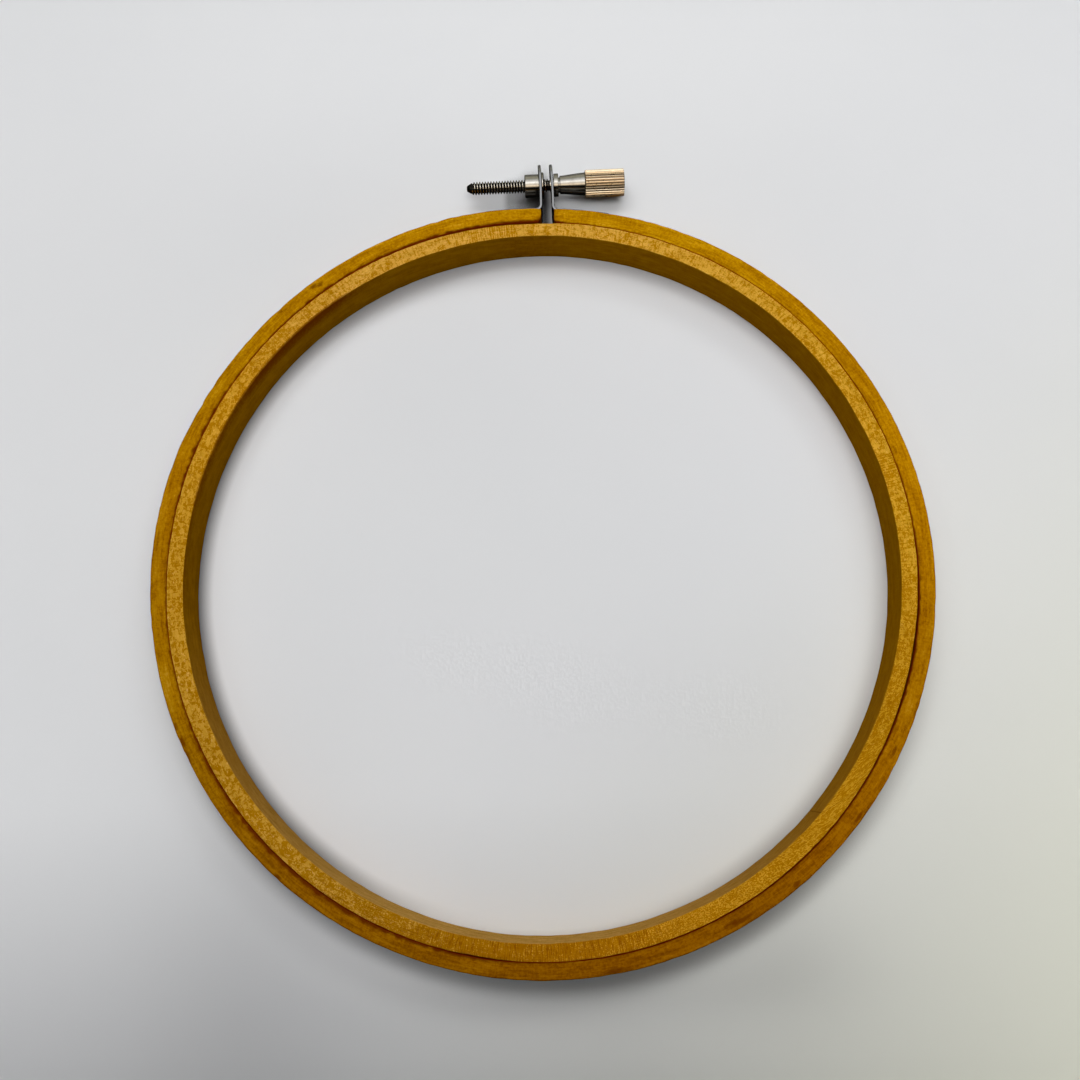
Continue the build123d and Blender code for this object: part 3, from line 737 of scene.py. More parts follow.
def lug_path(side):
    """Middle line of a lug in plan, from its tip to the end of its foot."""
    leg_x = 3.16 if side < 0 else 5.84
    tip_y, bend = 92.06, 1.2
    start = math.degrees(math.atan2(leg_x + side * bend, 81.0))
    foot_r = float(outer_edge(start)) + 0.02 + 0.3
    cx = leg_x + side * bend
    cy = math.sqrt((foot_r + bend) ** 2 - cx * cx)
    start = math.degrees(math.atan2(cx, cy))
    pts = []
    y = np.linspace(tip_y, cy, 60)
    # the legs bow a little
    k = (y - cy) / (tip_y - cy)
    if side < 0:
        bow = -0.10 * k * k + 0.10 * np.sin(math.pi * k)
    else:
        bow = -0.26 * k * k + 0.04 * np.sin(math.pi * k)
    pts += list(zip(leg_x + bow, y))
    a0 = math.pi if side > 0 else 0.0
    a1 = math.atan2(-cy, -cx)          # towards the ring's centre
    if side > 0:
        while a1 < a0:
            a1 += 2 * math.pi
    else:
        while a1 > a0:
            a1 -= 2 * math.pi
    for a in np.linspace(a0, a1, 24)[1:]:
        pts.append((cx + bend * math.cos(a), cy + bend * math.sin(a)))
    span = math.degrees(12.0 / foot_r)
    for bb in np.linspace(start, start + side * span, 50)[1:]:
        r = float(outer_edge(bb)) + 0.02 + 0.3
        t = math.radians(bb)
        pts.append((r * math.sin(t), r * math.cos(t)))
    pts = np.array(pts)
    for _ in range(2):
        pts[1:-1] = 0.25 * pts[:-2] + 0.5 * pts[1:-1] + 0.25 * pts[2:]
    return pts


def build_lug(name, side):
    """Bent strip: round tip, hole for the screw, foot with rounded corners."""
    path = lug_path(side)
    step = np.linalg.norm(np.diff(path, axis=0), axis=1)
    length = np.concatenate([[0], np.cumsum(step)])
    total = length[-1]
    wide, thick, c = 3.6, 0.6, 0.13
    foot_c = 1.5
    # half outline: (along, across, normal along, normal across)
    half = []
    for a in np.linspace(0, 90, 19):
        t = math.radians(a)
        half.append((wide - wide * math.cos(t), wide * math.sin(t), -math.cos(t), math.sin(t)))
    for u in np.linspace(wide, total - foot_c, 90)[1:]:
        half.append((u, wide, 0.0, 1.0))
    for a in np.linspace(0, 90, 9)[1:]:
        t = math.radians(a)
        half.append((total - foot_c + foot_c * math.sin(t), wide - foot_c + foot_c * math.cos(t),
                     math.sin(t), math.cos(t)))
    half = np.array(half)
    n = len(half)
    levels = []
    for a in np.linspace(-90, 0, 4):
        t = math.radians(a)
        levels.append((-thick / 2 + c + c * math.sin(t), c - c * math.cos(t)))
    levels += [(-z, inset) for z, inset in levels[::-1]]
    cols = 8

    def bend_point(u, w, t):
        u = min(max(u, 0.0), total)
        x = np.interp(u, length, path[:, 0])
        y = np.interp(u, length, path[:, 1])
        e = 0.08
        x2, y2 = np.interp(min(u + e, total), length, path[:, 0]), np.interp(min(u + e, total), length, path[:, 1])
        x1, y1 = np.interp(max(u - e, 0), length, path[:, 0]), np.interp(max(u - e, 0), length, path[:, 1])
        dx, dy = x2 - x1, y2 - y1
        k = math.hypot(dx, dy)
        return np.array([x - dy / k * t, y + dx / k * t, AX_Z + w])

    verts, index, flat = [], {}, []

    def vert(key, u, w, t):
        if key not in index:
            index[key] = len(verts)
            verts.append(bend_point(u, w, t))
            flat.append((u, w, t))
        return index[key]

    def rim(level, i, sgn):
        z, inset = levels[level]
        u = half[i, 0] - half[i, 2] * inset
        w = half[i, 1] - half[i, 3] * inset
        if i == 0:
            return vert(("tip", level), u, 0.0, z)
        return vert((level, i, sgn), u, sgn * w, z)

    def end_col(level, k):
        """Column k across the foot's end face."""
        if k == 0:
            return rim(level, n - 1, -1)
        if k == cols:
            return rim(level, n - 1, 1)
        z, inset = levels[level]
        w = half[n - 1, 1] - half[n - 1, 3] * inset
        return vert(("end", level, k), half[n - 1, 0] - inset, -w + 2 * w * k / cols, z)

    faces = []
    for lv in range(len(levels) - 1):
        for sgn in (-1, 1):
            for i in range(n - 1):
                f = (rim(lv, i, sgn), rim(lv, i + 1, sgn), rim(lv + 1, i + 1, sgn), rim(lv + 1, i, sgn))
                faces.append(f if sgn > 0 else f[::-1])
        for k in range(cols):
            faces.append((end_col(lv, k), end_col(lv + 1, k), end_col(lv + 1, k + 1), end_col(lv, k + 1)))
    for level, flip in ((0, True), (len(levels) - 1, False)):
        z, inset = levels[level]

        def col(i, k):
            if i == 0:
                return rim(level, 0, 1)
            if i == n - 1:
                return end_col(level, k)
            if k == 0:
                return rim(level, i, -1)
            if k == cols:
                return rim(level, i, 1)
            u = half[i, 0] - half[i, 2] * inset
            w = half[i, 1] - half[i, 3] * inset
            return vert(("face", level, i, k), u, -w + 2 * w * k / cols, z)

        for i in range(n - 1):
            for k in range(cols):
                f = [col(i, k), col(i + 1, k), col(i + 1, k + 1), col(i, k + 1)]
                g = []
                for v in f:
                    if v not in g:
                        g.append(v)
                if len(g) > 2:
                    faces.append(tuple(g) if flip else tuple(g[::-1]))
    verts = np.array(verts)
    vol = 0.0
    for f in faces:
        p = verts[list(f)]
        for k in range(1, len(f) - 1):
            vol += np.dot(p[0], np.cross(p[k], p[k + 1]))
    if vol < 0:
        faces = [f[::-1] for f in faces]
    ob = make_object(name, verts, faces, None, {"turn": np.array(flat)})
    # the hole for the screw, or for the nut's neck
    hole = 1.50 if side > 0 else 2.10
    x0 = (3.16 if side < 0 else 5.84)
    seg = 56
    hv, hf = [], []
    for xx in (x0 - 1.5, x0 + 1.5):
        for j in range(seg):
            a = 2 * math.pi * j / seg
            hv.append((xx, AX_Y + hole * math.cos(a), AX_Z + hole * math.sin(a)))
    for j in range(seg):
        j2 = (j + 1) % seg
        hf.append((j, j2, seg + j2, seg + j))
    hf.append(tuple(range(seg))[::-1])
    hf.append(tuple(range(seg, 2 * seg)))
    cutter = make_object(name + "_cutter", np.array(hv), hf)
    import bmesh

    bm = bmesh.new()
    bm.from_mesh(cutter.data)
    bmesh.ops.recalc_face_normals(bm, faces=bm.faces)
    bm.to_mesh(cutter.data)
    bm.free()
    mod = ob.modifiers.new("hole", "BOOLEAN")
    mod.operation = "DIFFERENCE"
    mod.object = cutter
    mod.solver = "EXACT"
    bpy.context.view_layer.update()
    dg = bpy.context.evaluated_depsgraph_get()
    made = bpy.data.meshes.new_from_object(ob.evaluated_get(dg))
    ob.modifiers.clear()
    ob.data = made
    bpy.data.objects.remove(cutter)
    sharpen(ob, 35)
    return ob


def build_nails(name, side):
    """Two short round-head nails through the foot."""
    path = lug_path(side)
    leg_x = 3.16 if side < 0 else 5.84
    start = math.degrees(math.atan2(leg_x + side * 1.2, 81.0))
    all_v, all_f, all_t = [], [], []
    for n_i, off in enumerate((2.4, 6.2)):
        bb = start + side * off
        base = float(outer_edge(bb)) + 0.62
        t = math.radians(bb)
        out = np.array([math.sin(t), math.cos(t), 0])
        tan = np.array([math.cos(t), -math.sin(t), 0])
        upz = np.array([0, 0, 1.0])
        prof = [(-3.2, 0.02), (-2.9, 0.22), (-2.5, 0.5), (0.0, 0.5), (0.0, 1.04), (0.05, 1.09), (0.14, 1.10),
                (0.27, 1.03), (0.38, 0.86), (0.46, 0.66), (0.52, 0.42), (0.55, 0.2), (0.555, 0.02)]
        seg = 28
        start_v = len(all_v)
        for d, r in prof:
            for j in range(seg):
                a = 2 * math.pi * j / seg
                rr = r * (1 + 0.02 * math.sin(3 * a + n_i + d))
                p = out * (base + d) + tan * rr * math.cos(a) + upz * rr * math.sin(a) + np.array([0, 0, AX_Z])
                all_v.append(p)
                all_t.append((d * 2, rr * math.cos(a), rr * math.sin(a)))
        for i in range(len(prof) - 1):
            for j in range(seg):
                j2 = (j + 1) % seg
                f = (start_v + i * seg + j, start_v + i * seg + j2, start_v + (i + 1) * seg + j2, start_v + (i + 1) * seg + j)
                all_f.append(f)
        all_f.append(tuple(start_v + j for j in range(seg))[::-1])
        all_f.append(tuple(start_v + (len(prof) - 1) * seg + j for j in range(seg)))
    ob = make_object(name, np.array(all_v), all_f, None, {"turn": np.array(all_t)})
    import bmesh

    bm = bmesh.new()
    bm.from_mesh(ob.data)
    bmesh.ops.recalc_face_normals(bm, faces=bm.faces)
    bm.to_mesh(ob.data)
    bm.free()
    sharpen(ob, 40)
    return ob


# ------------------------------------------------------------------ materials
class Graph:
    """Small helper for node materials; values may be numbers or sockets."""

    def __init__(self, name):
        self.mat = bpy.data.materials.new(name)
        self.mat.use_nodes = True
        self.tree = self.mat.node_tree
        self.tree.nodes.clear()
        self.out = self.tree.nodes.new("ShaderNodeOutputMaterial")

    def put(self, socket, value):
        if isinstance(value, bpy.types.NodeSocket):
            self.tree.links.new(value, socket)
        elif value is not None:
            if isinstance(value, (tuple, list)) and len(value) == 3 and socket.type == "RGBA":
                value = (*value, 1.0)
            socket.default_value = value

    def attribute(self, name):
        n = self.tree.nodes.new("ShaderNodeAttribute")
        n.attribute_type = "GEOMETRY"
        n.attribute_name = name
        return n.outputs["Vector"]

    def split(self, v):
        n = self.tree.nodes.new("ShaderNodeSeparateXYZ")
        self.put(n.inputs[0], v)
        return n.outputs[0], n.outputs[1], n.outputs[2]

    def join(self, x, y, z):
        n = self.tree.nodes.new("ShaderNodeCombineXYZ")
        for k, v in enumerate((x, y, z)):
            self.put(n.inputs[k], v)
        return n.outputs[0]

    def math(self, op, a, b=None, c=None, clamp=False):
        n = self.tree.nodes.new("ShaderNodeMath")
        n.operation = op
        n.use_clamp = clamp
        for k, v in enumerate((a, b, c)):
            if v is not None:
                self.put(n.inputs[k], v)
        return n.outputs[0]

    def add(self, *terms):
        total = terms[0]
        for t in terms[1:]:
            total = self.math("ADD", total, t)
        return total

    def mul(self, a, b):
        return self.math("MULTIPLY", a, b)

    def stretch(self, v, factors, shift=(0, 0, 0)):
        n = self.tree.nodes.new("ShaderNodeVectorMath")
        n.operation = "MULTIPLY_ADD"
        self.put(n.inputs[0], v)
        n.inputs[1].default_value = factors
        n.inputs[2].default_value = shift
        return n.outputs[0]

    def noise(self, v, scale=1.0, detail=2.0, rough=0.5, distortion=0.0):
        n = self.tree.nodes.new("ShaderNodeTexNoise")
        self.put(n.inputs["Vector"], v)
        n.inputs["Scale"].default_value = scale
        n.inputs["Detail"].default_value = detail
        n.inputs["Roughness"].default_value = rough
        n.inputs["Distortion"].default_value = distortion
        return n.outputs["Fac"]

    def cells(self, v, scale=1.0, feature="F1"):
        n = self.tree.nodes.new("ShaderNodeTexVoronoi")
        n.feature = feature
        self.put(n.inputs["Vector"], v)
        n.inputs["Scale"].default_value = scale
        return n.outputs["Distance"]

    def ramp(self, x, lo, hi, a=0.0, b=1.0, kind="SMOOTHSTEP"):
        n = self.tree.nodes.new("ShaderNodeMapRange")
        n.interpolation_type = kind
        self.put(n.inputs["Value"], x)
        self.put(n.inputs["From Min"], lo)
        self.put(n.inputs["From Max"], hi)
        self.put(n.inputs["To Min"], a)
        self.put(n.inputs["To Max"], b)
        return n.outputs["Result"]

    def centre(self, x, size):
        """A 0..1 noise as a term about zero."""
        return self.math("MULTIPLY_ADD", x, size, -0.5 * size)

    def mix(self, f, a, b, blend="MIX"):
        n = self.tree.nodes.new("ShaderNodeMix")
        n.data_type = "RGBA"
        n.blend_type = blend
        n.clamp_factor = True
        self.put(n.inputs[0], f)
        self.put(n.inputs[6], a)
        self.put(n.inputs[7], b)
        return n.outputs[2]

    def colours(self, x, stops):
        n = self.tree.nodes.new("ShaderNodeValToRGB")
        ramp = n.color_ramp
        while len(ramp.elements) < len(stops):
            ramp.elements.new(0.5)
        for e, (pos, col) in zip(ramp.elements, stops):
            e.position = pos
            e.color = (*col, 1.0)
        self.put(n.inputs[0], x)
        return n.outputs[0]

    def rgb(self, *parts):
        n = self.tree.nodes.new("ShaderNodeCombineColor")
        for k in range(3):
            self.put(n.inputs[k], parts[k])
        return n.outputs[0]

    def grey(self, x):
        """A colour of three equal parts."""
        return self.rgb(x, x, x)

    def bump(self, height, distance_mm, strength=1.0, normal=None):
        n = self.tree.nodes.new("ShaderNodeBump")
        n.inputs["Strength"].default_value = strength
        n.inputs["Distance"].default_value = distance_mm * MM
        self.put(n.inputs["Height"], height)
        if normal is not None:
            self.put(n.inputs["Normal"], normal)
        return n.outputs[0]

    def shade(self, **sockets):
        n = self.tree.nodes.new("ShaderNodeBsdfPrincipled")
        for key, v in sockets.items():
            self.put(n.inputs[key.replace("_", " ")], v)
        self.tree.links.new(n.outputs[0], self.out.inputs["Surface"])
        return self.mat


INNER_TOTAL = 2 * math.pi * 74.5


def inner_wood():
    g = Graph("inner_wood")
    grain = g.attribute("grain")
    s, d, z = g.split(grain)
    top, wall, outside = g.split(g.attribute("face"))
    tone, stain, pale = g.split(g.attribute("marks"))
    saw, streak, tan = g.split(g.attribute("more"))
    patches, strokes, small = g.split(g.attribute("figure"))
    level_top, level_wall, red = g.split(g.attribute("level"))
    green, blue, cross = g.split(g.attribute("tint"))
    clouds = g.noise(g.stretch(grain, (0.30, 0.8, 0.8)), 1.0, 3.0, 0.55)
    fibres = g.noise(g.stretch(grain, (0.16, 3.4, 3.4), (3, 0, 0)), 1.0, 4.0, 0.6)
    fine = g.noise(g.stretch(grain, (0.9, 11.0, 11.0), (9, 0, 0)), 1.0, 3.0, 0.6)
    blotch = g.noise(g.stretch(grain, (0.85, 1.15, 1.15), (0, 5, 0)), 1.0, 5.0, 0.66, 0.7)
    across = g.noise(g.stretch(grain, (2.3, 0.40, 0.40), (0, 8, 0)), 1.0, 4.0, 0.62)
    speckle = g.noise(g.stretch(grain, (3.0, 4.0, 4.0), (5, 1, 7)), 1.0, 4.0, 0.62)
    ticks = g.noise(g.stretch(grain, (4.6, 0.5, 0.5), (2, 8, 1)), 1.0, 2.0, 0.5, 0.2)
    # transverse saw marks, about half a millimetre apart
    phase = g.math("MULTIPLY_ADD", s, 2 * math.pi / 0.52, g.math("MULTIPLY", across, 5.0))
    waves = g.math("MULTIPLY_ADD", g.math("SINE", phase), 0.5, 0.5)
    waves = g.mul(waves, g.ramp(ticks, 0.35, 0.6))
    sawn = g.mul(saw, g.centre(waves, 0.34))
    figure = g.add(0.5, pale, sawn, g.mul(patches, g.centre(blotch, 1.60)), g.mul(strokes, g.centre(across, 1.15)),
                   g.mul(small, g.centre(speckle, 1.30)))
    figure = g.ramp(figure, 0.42, 0.64)
    v = g.add(0.5, g.centre(clouds, 0.9), g.centre(fibres, 0.6), g.centre(fine, 0.3), g.centre(speckle, 0.5))
    amber = g.colours(v, [(0.1, (0.34, 0.150, 0.0008)), (0.5, (0.435, 0.200, 0.0015)), (0.9, (0.52, 0.255, 0.006))])
    light = g.colours(v, [(0.1, (0.54, 0.300, 0.030)), (0.5, (0.66, 0.375, 0.066)), (0.9, (0.78, 0.475, 0.125))])
    top_colour = g.mix(figure, amber, light)
    lines = g.ramp(g.noise(g.stretch(grain, (0.22, 6.5, 6.5), (1, 2, 0)), 1.0, 2.0, 0.5), 0.53, 0.66)
    top_colour = g.mix(g.mul(lines, g.math("MULTIPLY_ADD", streak, 0.65, 0.08)), top_colour, (0.23, 0.080, 0.001))
    gleam = g.ramp(g.noise(g.stretch(grain, (1.2, 1.9, 1.9), (3, 9, 2)), 1.0, 4.0, 0.68, 0.5), 0.56, 0.72)
    top_colour = g.mix(g.math("MULTIPLY", g.mul(gleam, patches), 0.60), top_colour, (0.90, 0.58, 0.27))
    bars = g.ramp(g.noise(g.stretch(grain, (4.4, 0.42, 0.42), (6, 2, 0)), 1.0, 3.0, 0.6), 0.47, 0.60)
    top_colour = g.mix(g.math("MULTIPLY", g.mul(bars, cross), 0.70), top_colour, (0.24, 0.080, 0.001))
    top_colour = g.mix(1.0, top_colour, g.rgb(level_top, g.mul(level_top, green), g.mul(level_top, blue)), "MULTIPLY")
    # inside and outside faces: along the grain, darker
    w = g.add(0.5, tone, g.centre(fibres, 0.7), g.centre(fine, 0.4), g.centre(clouds, 0.8), g.centre(across, 0.35))
    wall_colour = g.colours(w, [(0.1, (0.165, 0.062, 0.0003)), (0.5, (0.245, 0.102, 0.0004)), (0.9, (0.33, 0.150, 0.0010))])
    # painted sheen on the lower inside face: a lighter tan colour mixed in by the tan share
    painted_sheen_wall_colour = g.colours(w, [(0.1, (0.30, 0.155, 0.020)), (0.5, (0.49, 0.278, 0.066)), (0.9, (0.60, 0.36, 0.11))])
    wall_colour = g.mix(tan, wall_colour, painted_sheen_wall_colour)
    wall_colour = g.mix(1.0, wall_colour, g.grey(level_wall), "MULTIPLY")
    wall_colour = g.mix(g.mul(outside, 0.85), wall_colour, (0.255, 0.098, 0.0012))
    rim = g.mul(outside, g.ramp(z, 7.9, 9.1, 0.0, 0.90))
    wall_colour = g.mix(rim, wall_colour, (0.44, 0.060, 0.0012))
    colour = g.mix(g.ramp(top, 0.25, 0.8), wall_colour, top_colour)
    # flecks of the wood's rays
    fleck = g.ramp(g.noise(g.stretch(grain, (0.8, 7.5, 7.5), (4, 4, 4)), 1.0, 1.0, 0.5), 0.66, 0.74)
    colour = g.mix(g.mul(fleck, 0.30), colour, (0.20, 0.075, 0.001))
    # red-brown stain with a ragged border
    ragged = g.math("ADD", stain, g.centre(g.noise(g.stretch(grain, (1.6, 2.4, 1.2), (7, 7, 7)), 1.0, 4.0, 0.65), 0.6))
    colour = g.mix(g.math("MULTIPLY", g.ramp(ragged, 0.26, 0.90), 0.90), colour, (0.140, 0.030, 0.0006))
    colour = g.mix(red, colour, (0.16, 0.045, 0.0006))
    # glued joint
    end = g.math("MINIMUM", s, g.math("SUBTRACT", INNER_TOTAL, s))
    joint = g.ramp(end, 0.03, 0.16, 1.0, 0.0)
    colour = g.mix(g.mul(joint, 0.62), colour, (0.12, 0.035, 0.001))
    rough = g.math("ADD", g.math("MULTIPLY_ADD", top, 0.10, 0.50), g.centre(speckle, 0.12))
    height = g.add(g.centre(fine, 0.6), g.centre(fibres, 0.4), g.centre(blotch, 0.4), g.centre(speckle, 0.4),
                   g.mul(g.mul(waves, saw), 0.5), g.mul(fleck, -0.4))
    normal = g.bump(height, 0.035, 0.8)
    return g.shade(Base_Color=colour, Roughness=rough, Specular_IOR_Level=0.0, Specular_Tint=(1.0, 0.72, 0.25),
                   Normal=normal)


def outer_wood():
    g = Graph("outer_wood")
    grain = g.attribute("grain")
    s, d, z = g.split(grain)
    top, wall, outside = g.split(g.attribute("face"))
    tone, stain, smudge = g.split(g.attribute("marks"))
    shade, flecks, level = g.split(g.attribute("more"))
    green, blue, spare = g.split(g.attribute("tint"))
    clouds = g.noise(g.stretch(grain, (0.22, 0.9, 0.9)), 1.0, 3.0, 0.55)
    fibres = g.noise(g.stretch(grain, (0.13, 2.6, 2.6), (3, 0, 0)), 1.0, 4.0, 0.6)
    fine = g.noise(g.stretch(grain, (0.8, 9.0, 9.0), (9, 0, 0)), 1.0, 3.0, 0.6)
    speckle = g.noise(g.stretch(grain, (1.5, 2.2, 2.2), (0, 5, 0)), 1.0, 4.0, 0.65)
    across = g.noise(g.stretch(grain, (3.2, 0.7, 0.7), (6, 6, 0)), 1.0, 3.0, 0.6)
    v = g.add(0.5, tone, g.centre(fibres, 0.90), g.centre(clouds, 1.0), g.centre(fine, 0.55), g.centre(speckle, 1.15),
              g.centre(across, 0.60))
    colour = g.colours(v, [(0.02, (0.25, 0.092, 0.0003)), (0.30, (0.350, 0.145, 0.0004)), (0.50, (0.440, 0.198, 0.0006)),
                           (0.75, (0.535, 0.262, 0.002)), (1.0, (0.63, 0.34, 0.02))])
    side_colour = g.colours(v, [(0.1, (0.21, 0.078, 0.0005)), (0.5, (0.32, 0.138, 0.001)), (0.9, (0.43, 0.205, 0.004))])
    side_colour = g.mix(g.mul(wall, 0.75), side_colour, (0.235, 0.088, 0.0010))
    side_colour = g.mix(g.mul(wall, g.ramp(z, 7.9, 9.1, 0.0, 0.90)), side_colour, (0.44, 0.056, 0.0010))
    colour = g.mix(g.ramp(top, 0.25, 0.8), side_colour, colour)
    colour = g.mix(1.0, colour, g.rgb(level, g.mul(level, green), g.mul(level, blue)), "MULTIPLY")
    fleck = g.ramp(g.noise(g.stretch(grain, (0.6, 5.5, 5.5), (4, 4, 4)), 1.0, 1.0, 0.5), 0.62, 0.74)
    colour = g.mix(g.mul(fleck, g.math("MULTIPLY", flecks, 0.6)), colour, (0.20, 0.062, 0.0006))
    edge_noise = g.noise(g.stretch(grain, (0.8, 2.0, 1.2), (7, 7, 7)), 1.0, 5.0, 0.7)
    ragged = g.math("ADD", stain, g.centre(edge_noise, 0.70))
    colour = g.mix(g.math("MULTIPLY", g.ramp(ragged, 0.16, 0.78), 0.95), colour, (0.110, 0.016, 0.0004))
    dirt = g.math("ADD", smudge, g.centre(g.noise(g.stretch(grain, (1.5, 4.0, 2.0), (1, 7, 3)), 1.0, 4.0, 0.7), 0.9))
    colour = g.mix(g.math("MULTIPLY", g.ramp(dirt, 0.14, 0.74), 0.80), colour, (0.130, 0.030, 0.0004))
    colour = g.mix(g.mul(shade, 0.35), colour, (0.20, 0.07, 0.002))
    rough = g.math("ADD", 0.58, g.centre(speckle, 0.15))
    height = g.add(g.centre(fine, 0.6), g.centre(fibres, 0.6), g.centre(speckle, 0.5), g.mul(fleck, -0.4))
    normal = g.bump(height, 0.035, 0.75)
    return g.shade(Base_Color=colour, Roughness=rough, Specular_IOR_Level=0.0, Specular_Tint=(1.0, 0.72, 0.25),
                   Normal=normal)


def metal(name, base, dark, rough_lo, rough_hi, turned, grime=0.25, groove=None, thread=None):
    """Plated metal with fine tool marks; turned pieces have them round the axis.
    groove is the pair of radii between which the painted shade in a knurl's grooves ends, thread the pair
    between which a screw thread goes from its root, darkened with painted shade, to its worn crest."""
    g = Graph(name)
    turn = g.attribute("turn")
    x, y, z = g.split(turn)
    if turned:
        marks = g.noise(g.join(g.mul(x, 16.0), 0.0, 0.0), 1.0, 3.0, 0.6)
        blot = g.noise(g.stretch(turn, (0.8, 0.8, 0.8)), 1.0, 3.0, 0.6)
    else:
        marks = g.noise(g.stretch(turn, (0.7, 14.0, 14.0)), 1.0, 3.0, 0.6)
        blot = g.noise(g.stretch(turn, (0.5, 0.7, 0.7)), 1.0, 3.0, 0.6)
    pits = g.ramp(g.noise(g.stretch(turn, (3.0, 3.0, 3.0)), 1.0, 2.0, 0.6), 0.62, 0.72)
    tarnish = g.ramp(blot, 0.40, 0.72)
    colour = g.mix(g.math("ADD", g.mul(tarnish, grime), g.centre(marks, 0.25), clamp=True), base, dark)
    colour = g.mix(g.mul(pits, 0.35), colour, dark)
    if groove:
        # painted shade: the knurl turns dark towards the bottom of its grooves
        radius = g.math("SQRT", g.math("ADD", g.mul(y, y), g.mul(z, z)))
        low = g.ramp(g.math("ADD", radius, g.centre(blot, 0.06)), groove[0], groove[1], 1.0, 0.0)
        colour = g.mix(g.mul(low, 0.92), colour, dark)
    if thread:
        radius = g.math("SQRT", g.math("ADD", g.mul(y, y), g.mul(z, z)))
        colour = g.mix(g.ramp(radius, thread[1] + 0.08, thread[1] + 0.06), colour, (0.60, 0.57, 0.51))
        # painted shade: the thread turns nearly black towards its root
        colour = g.mix(g.ramp(radius, thread[0], thread[1], 0.96, 0.0), colour, (0.012, 0.011, 0.009))
    rough = g.math("ADD", g.ramp(blot, 0.3, 0.75, rough_lo, rough_hi), g.centre(marks, 0.06))
    normal = g.bump(g.add(g.centre(marks, 0.8), g.mul(pits, -0.5), g.centre(blot, 0.6)), 0.004, 0.8)
    return g.shade(Base_Color=colour, Metallic=1.0, Roughness=rough, Normal=normal)


# painted light and shade on the floor, as a few soft patches
FLOOR_LIGHT_AND_SHADE_PATCHES = ((-0.016, 0.127, 0.091, 0.036, -0.095), (-0.061, -0.083, 0.023, 0.043, 0.158),
                 (0.007, -0.0835, 0.034, 0.0065, 0.20), (0.044, -0.045, 0.053, 0.036, 0.09),
                 (-0.032, 0.089, 0.107, 0.285, 0.086), (0.0, 0.0815, 0.004, 0.0022, 0.45),
                 (0.045, -0.078, 0.016, 0.012, 0.13))


GAP_SHADE = 1.0


def floor_material():
    g = Graph("pale_floor")
    n = g.tree.nodes.new("ShaderNodeNewGeometry")
    spots = g.noise(g.stretch(n.outputs["Position"], (9, 9, 9)), 1.0, 4.0, 0.6)
    colour = g.mix(g.ramp(spots, 0.3, 0.7), (0.735, 0.743, 0.757), (0.755, 0.761, 0.773))
    px, py, pz = g.split(n.outputs["Position"])
    # painted warm light: the table turns yellower towards the lower right
    painted_warm_light = g.ramp(g.math("SUBTRACT", px, py), 0.02, 0.24)
    colour = g.mix(painted_warm_light, colour, (0.755, 0.760, 0.640))
    # painted light and shade on the table: soft paler and darker patches (centre, half widths in m, depth)
    level = 1.036
    for cx, cy, sx, sy, depth in FLOOR_LIGHT_AND_SHADE_PATCHES:
        nx, ny = g.math("MULTIPLY_ADD", px, 1 / sx, -cx / sx), g.math("MULTIPLY_ADD", py, 1 / sy, -cy / sy)
        far = g.add(g.mul(nx, nx), g.mul(ny, ny))
        level = g.math("MULTIPLY_ADD", g.math("EXPONENT", g.mul(far, -1.0)), -depth, level)
    # a narrow shade where the rings stand on the table: to the left inside them, in front of them and in the gap
    left = g.math("ADD", g.math("MULTIPLY_ADD", py, -0.8, 0.46), g.mul(px, -5.7), clamp=True)
    left = g.mul(left, g.ramp(py, -0.073, -0.055))
    front = g.add(g.ramp(py, -0.010, -0.060, 0.0, 0.65), g.mul(g.ramp(g.math("ABSOLUTE", px), 0.0060, 0.0040, 0.0, GAP_SHADE), g.math("GREATER_THAN", py, 0.0)))
    radius = g.math("SQRT", g.add(g.mul(px, px), g.mul(py, py)))
    outside = g.math("GREATER_THAN", radius, 0.0762)
    near = g.tree.nodes.new("ShaderNodeAmbientOcclusion")
    near.samples = 8
    g.put(near.inputs["Distance"], g.math("MULTIPLY_ADD", outside, 0.0027, 0.0033))
    open_sky = g.math("POWER", near.outputs["AO"], 2.3)
    weight = g.add(g.mul(outside, front), g.mul(g.math("SUBTRACT", 1.0, outside), left))
    level = g.mul(level, g.math("SUBTRACT", 1.0, g.mul(weight, g.math("SUBTRACT", 1.0, open_sky))))
    colour = g.mix(1.0, colour, g.grey(level), "MULTIPLY")
    return g.shade(Base_Color=colour, Roughness=0.6, Specular_IOR_Level=0.15)


# ---------------------------------------------------------------- the pieces
inner = build_inner()
right_arm, foot_arc, left_arm = build_outer()
shank, head = build_screw()
nut = build_nut()
right_lug = build_lug("right_lug_strip", 1)
left_lug = build_lug("left_lug_strip", -1)
right_nails = build_nails("right_lug_nail_pair", 1)
left_nails = build_nails("left_lug_nail_pair", -1)

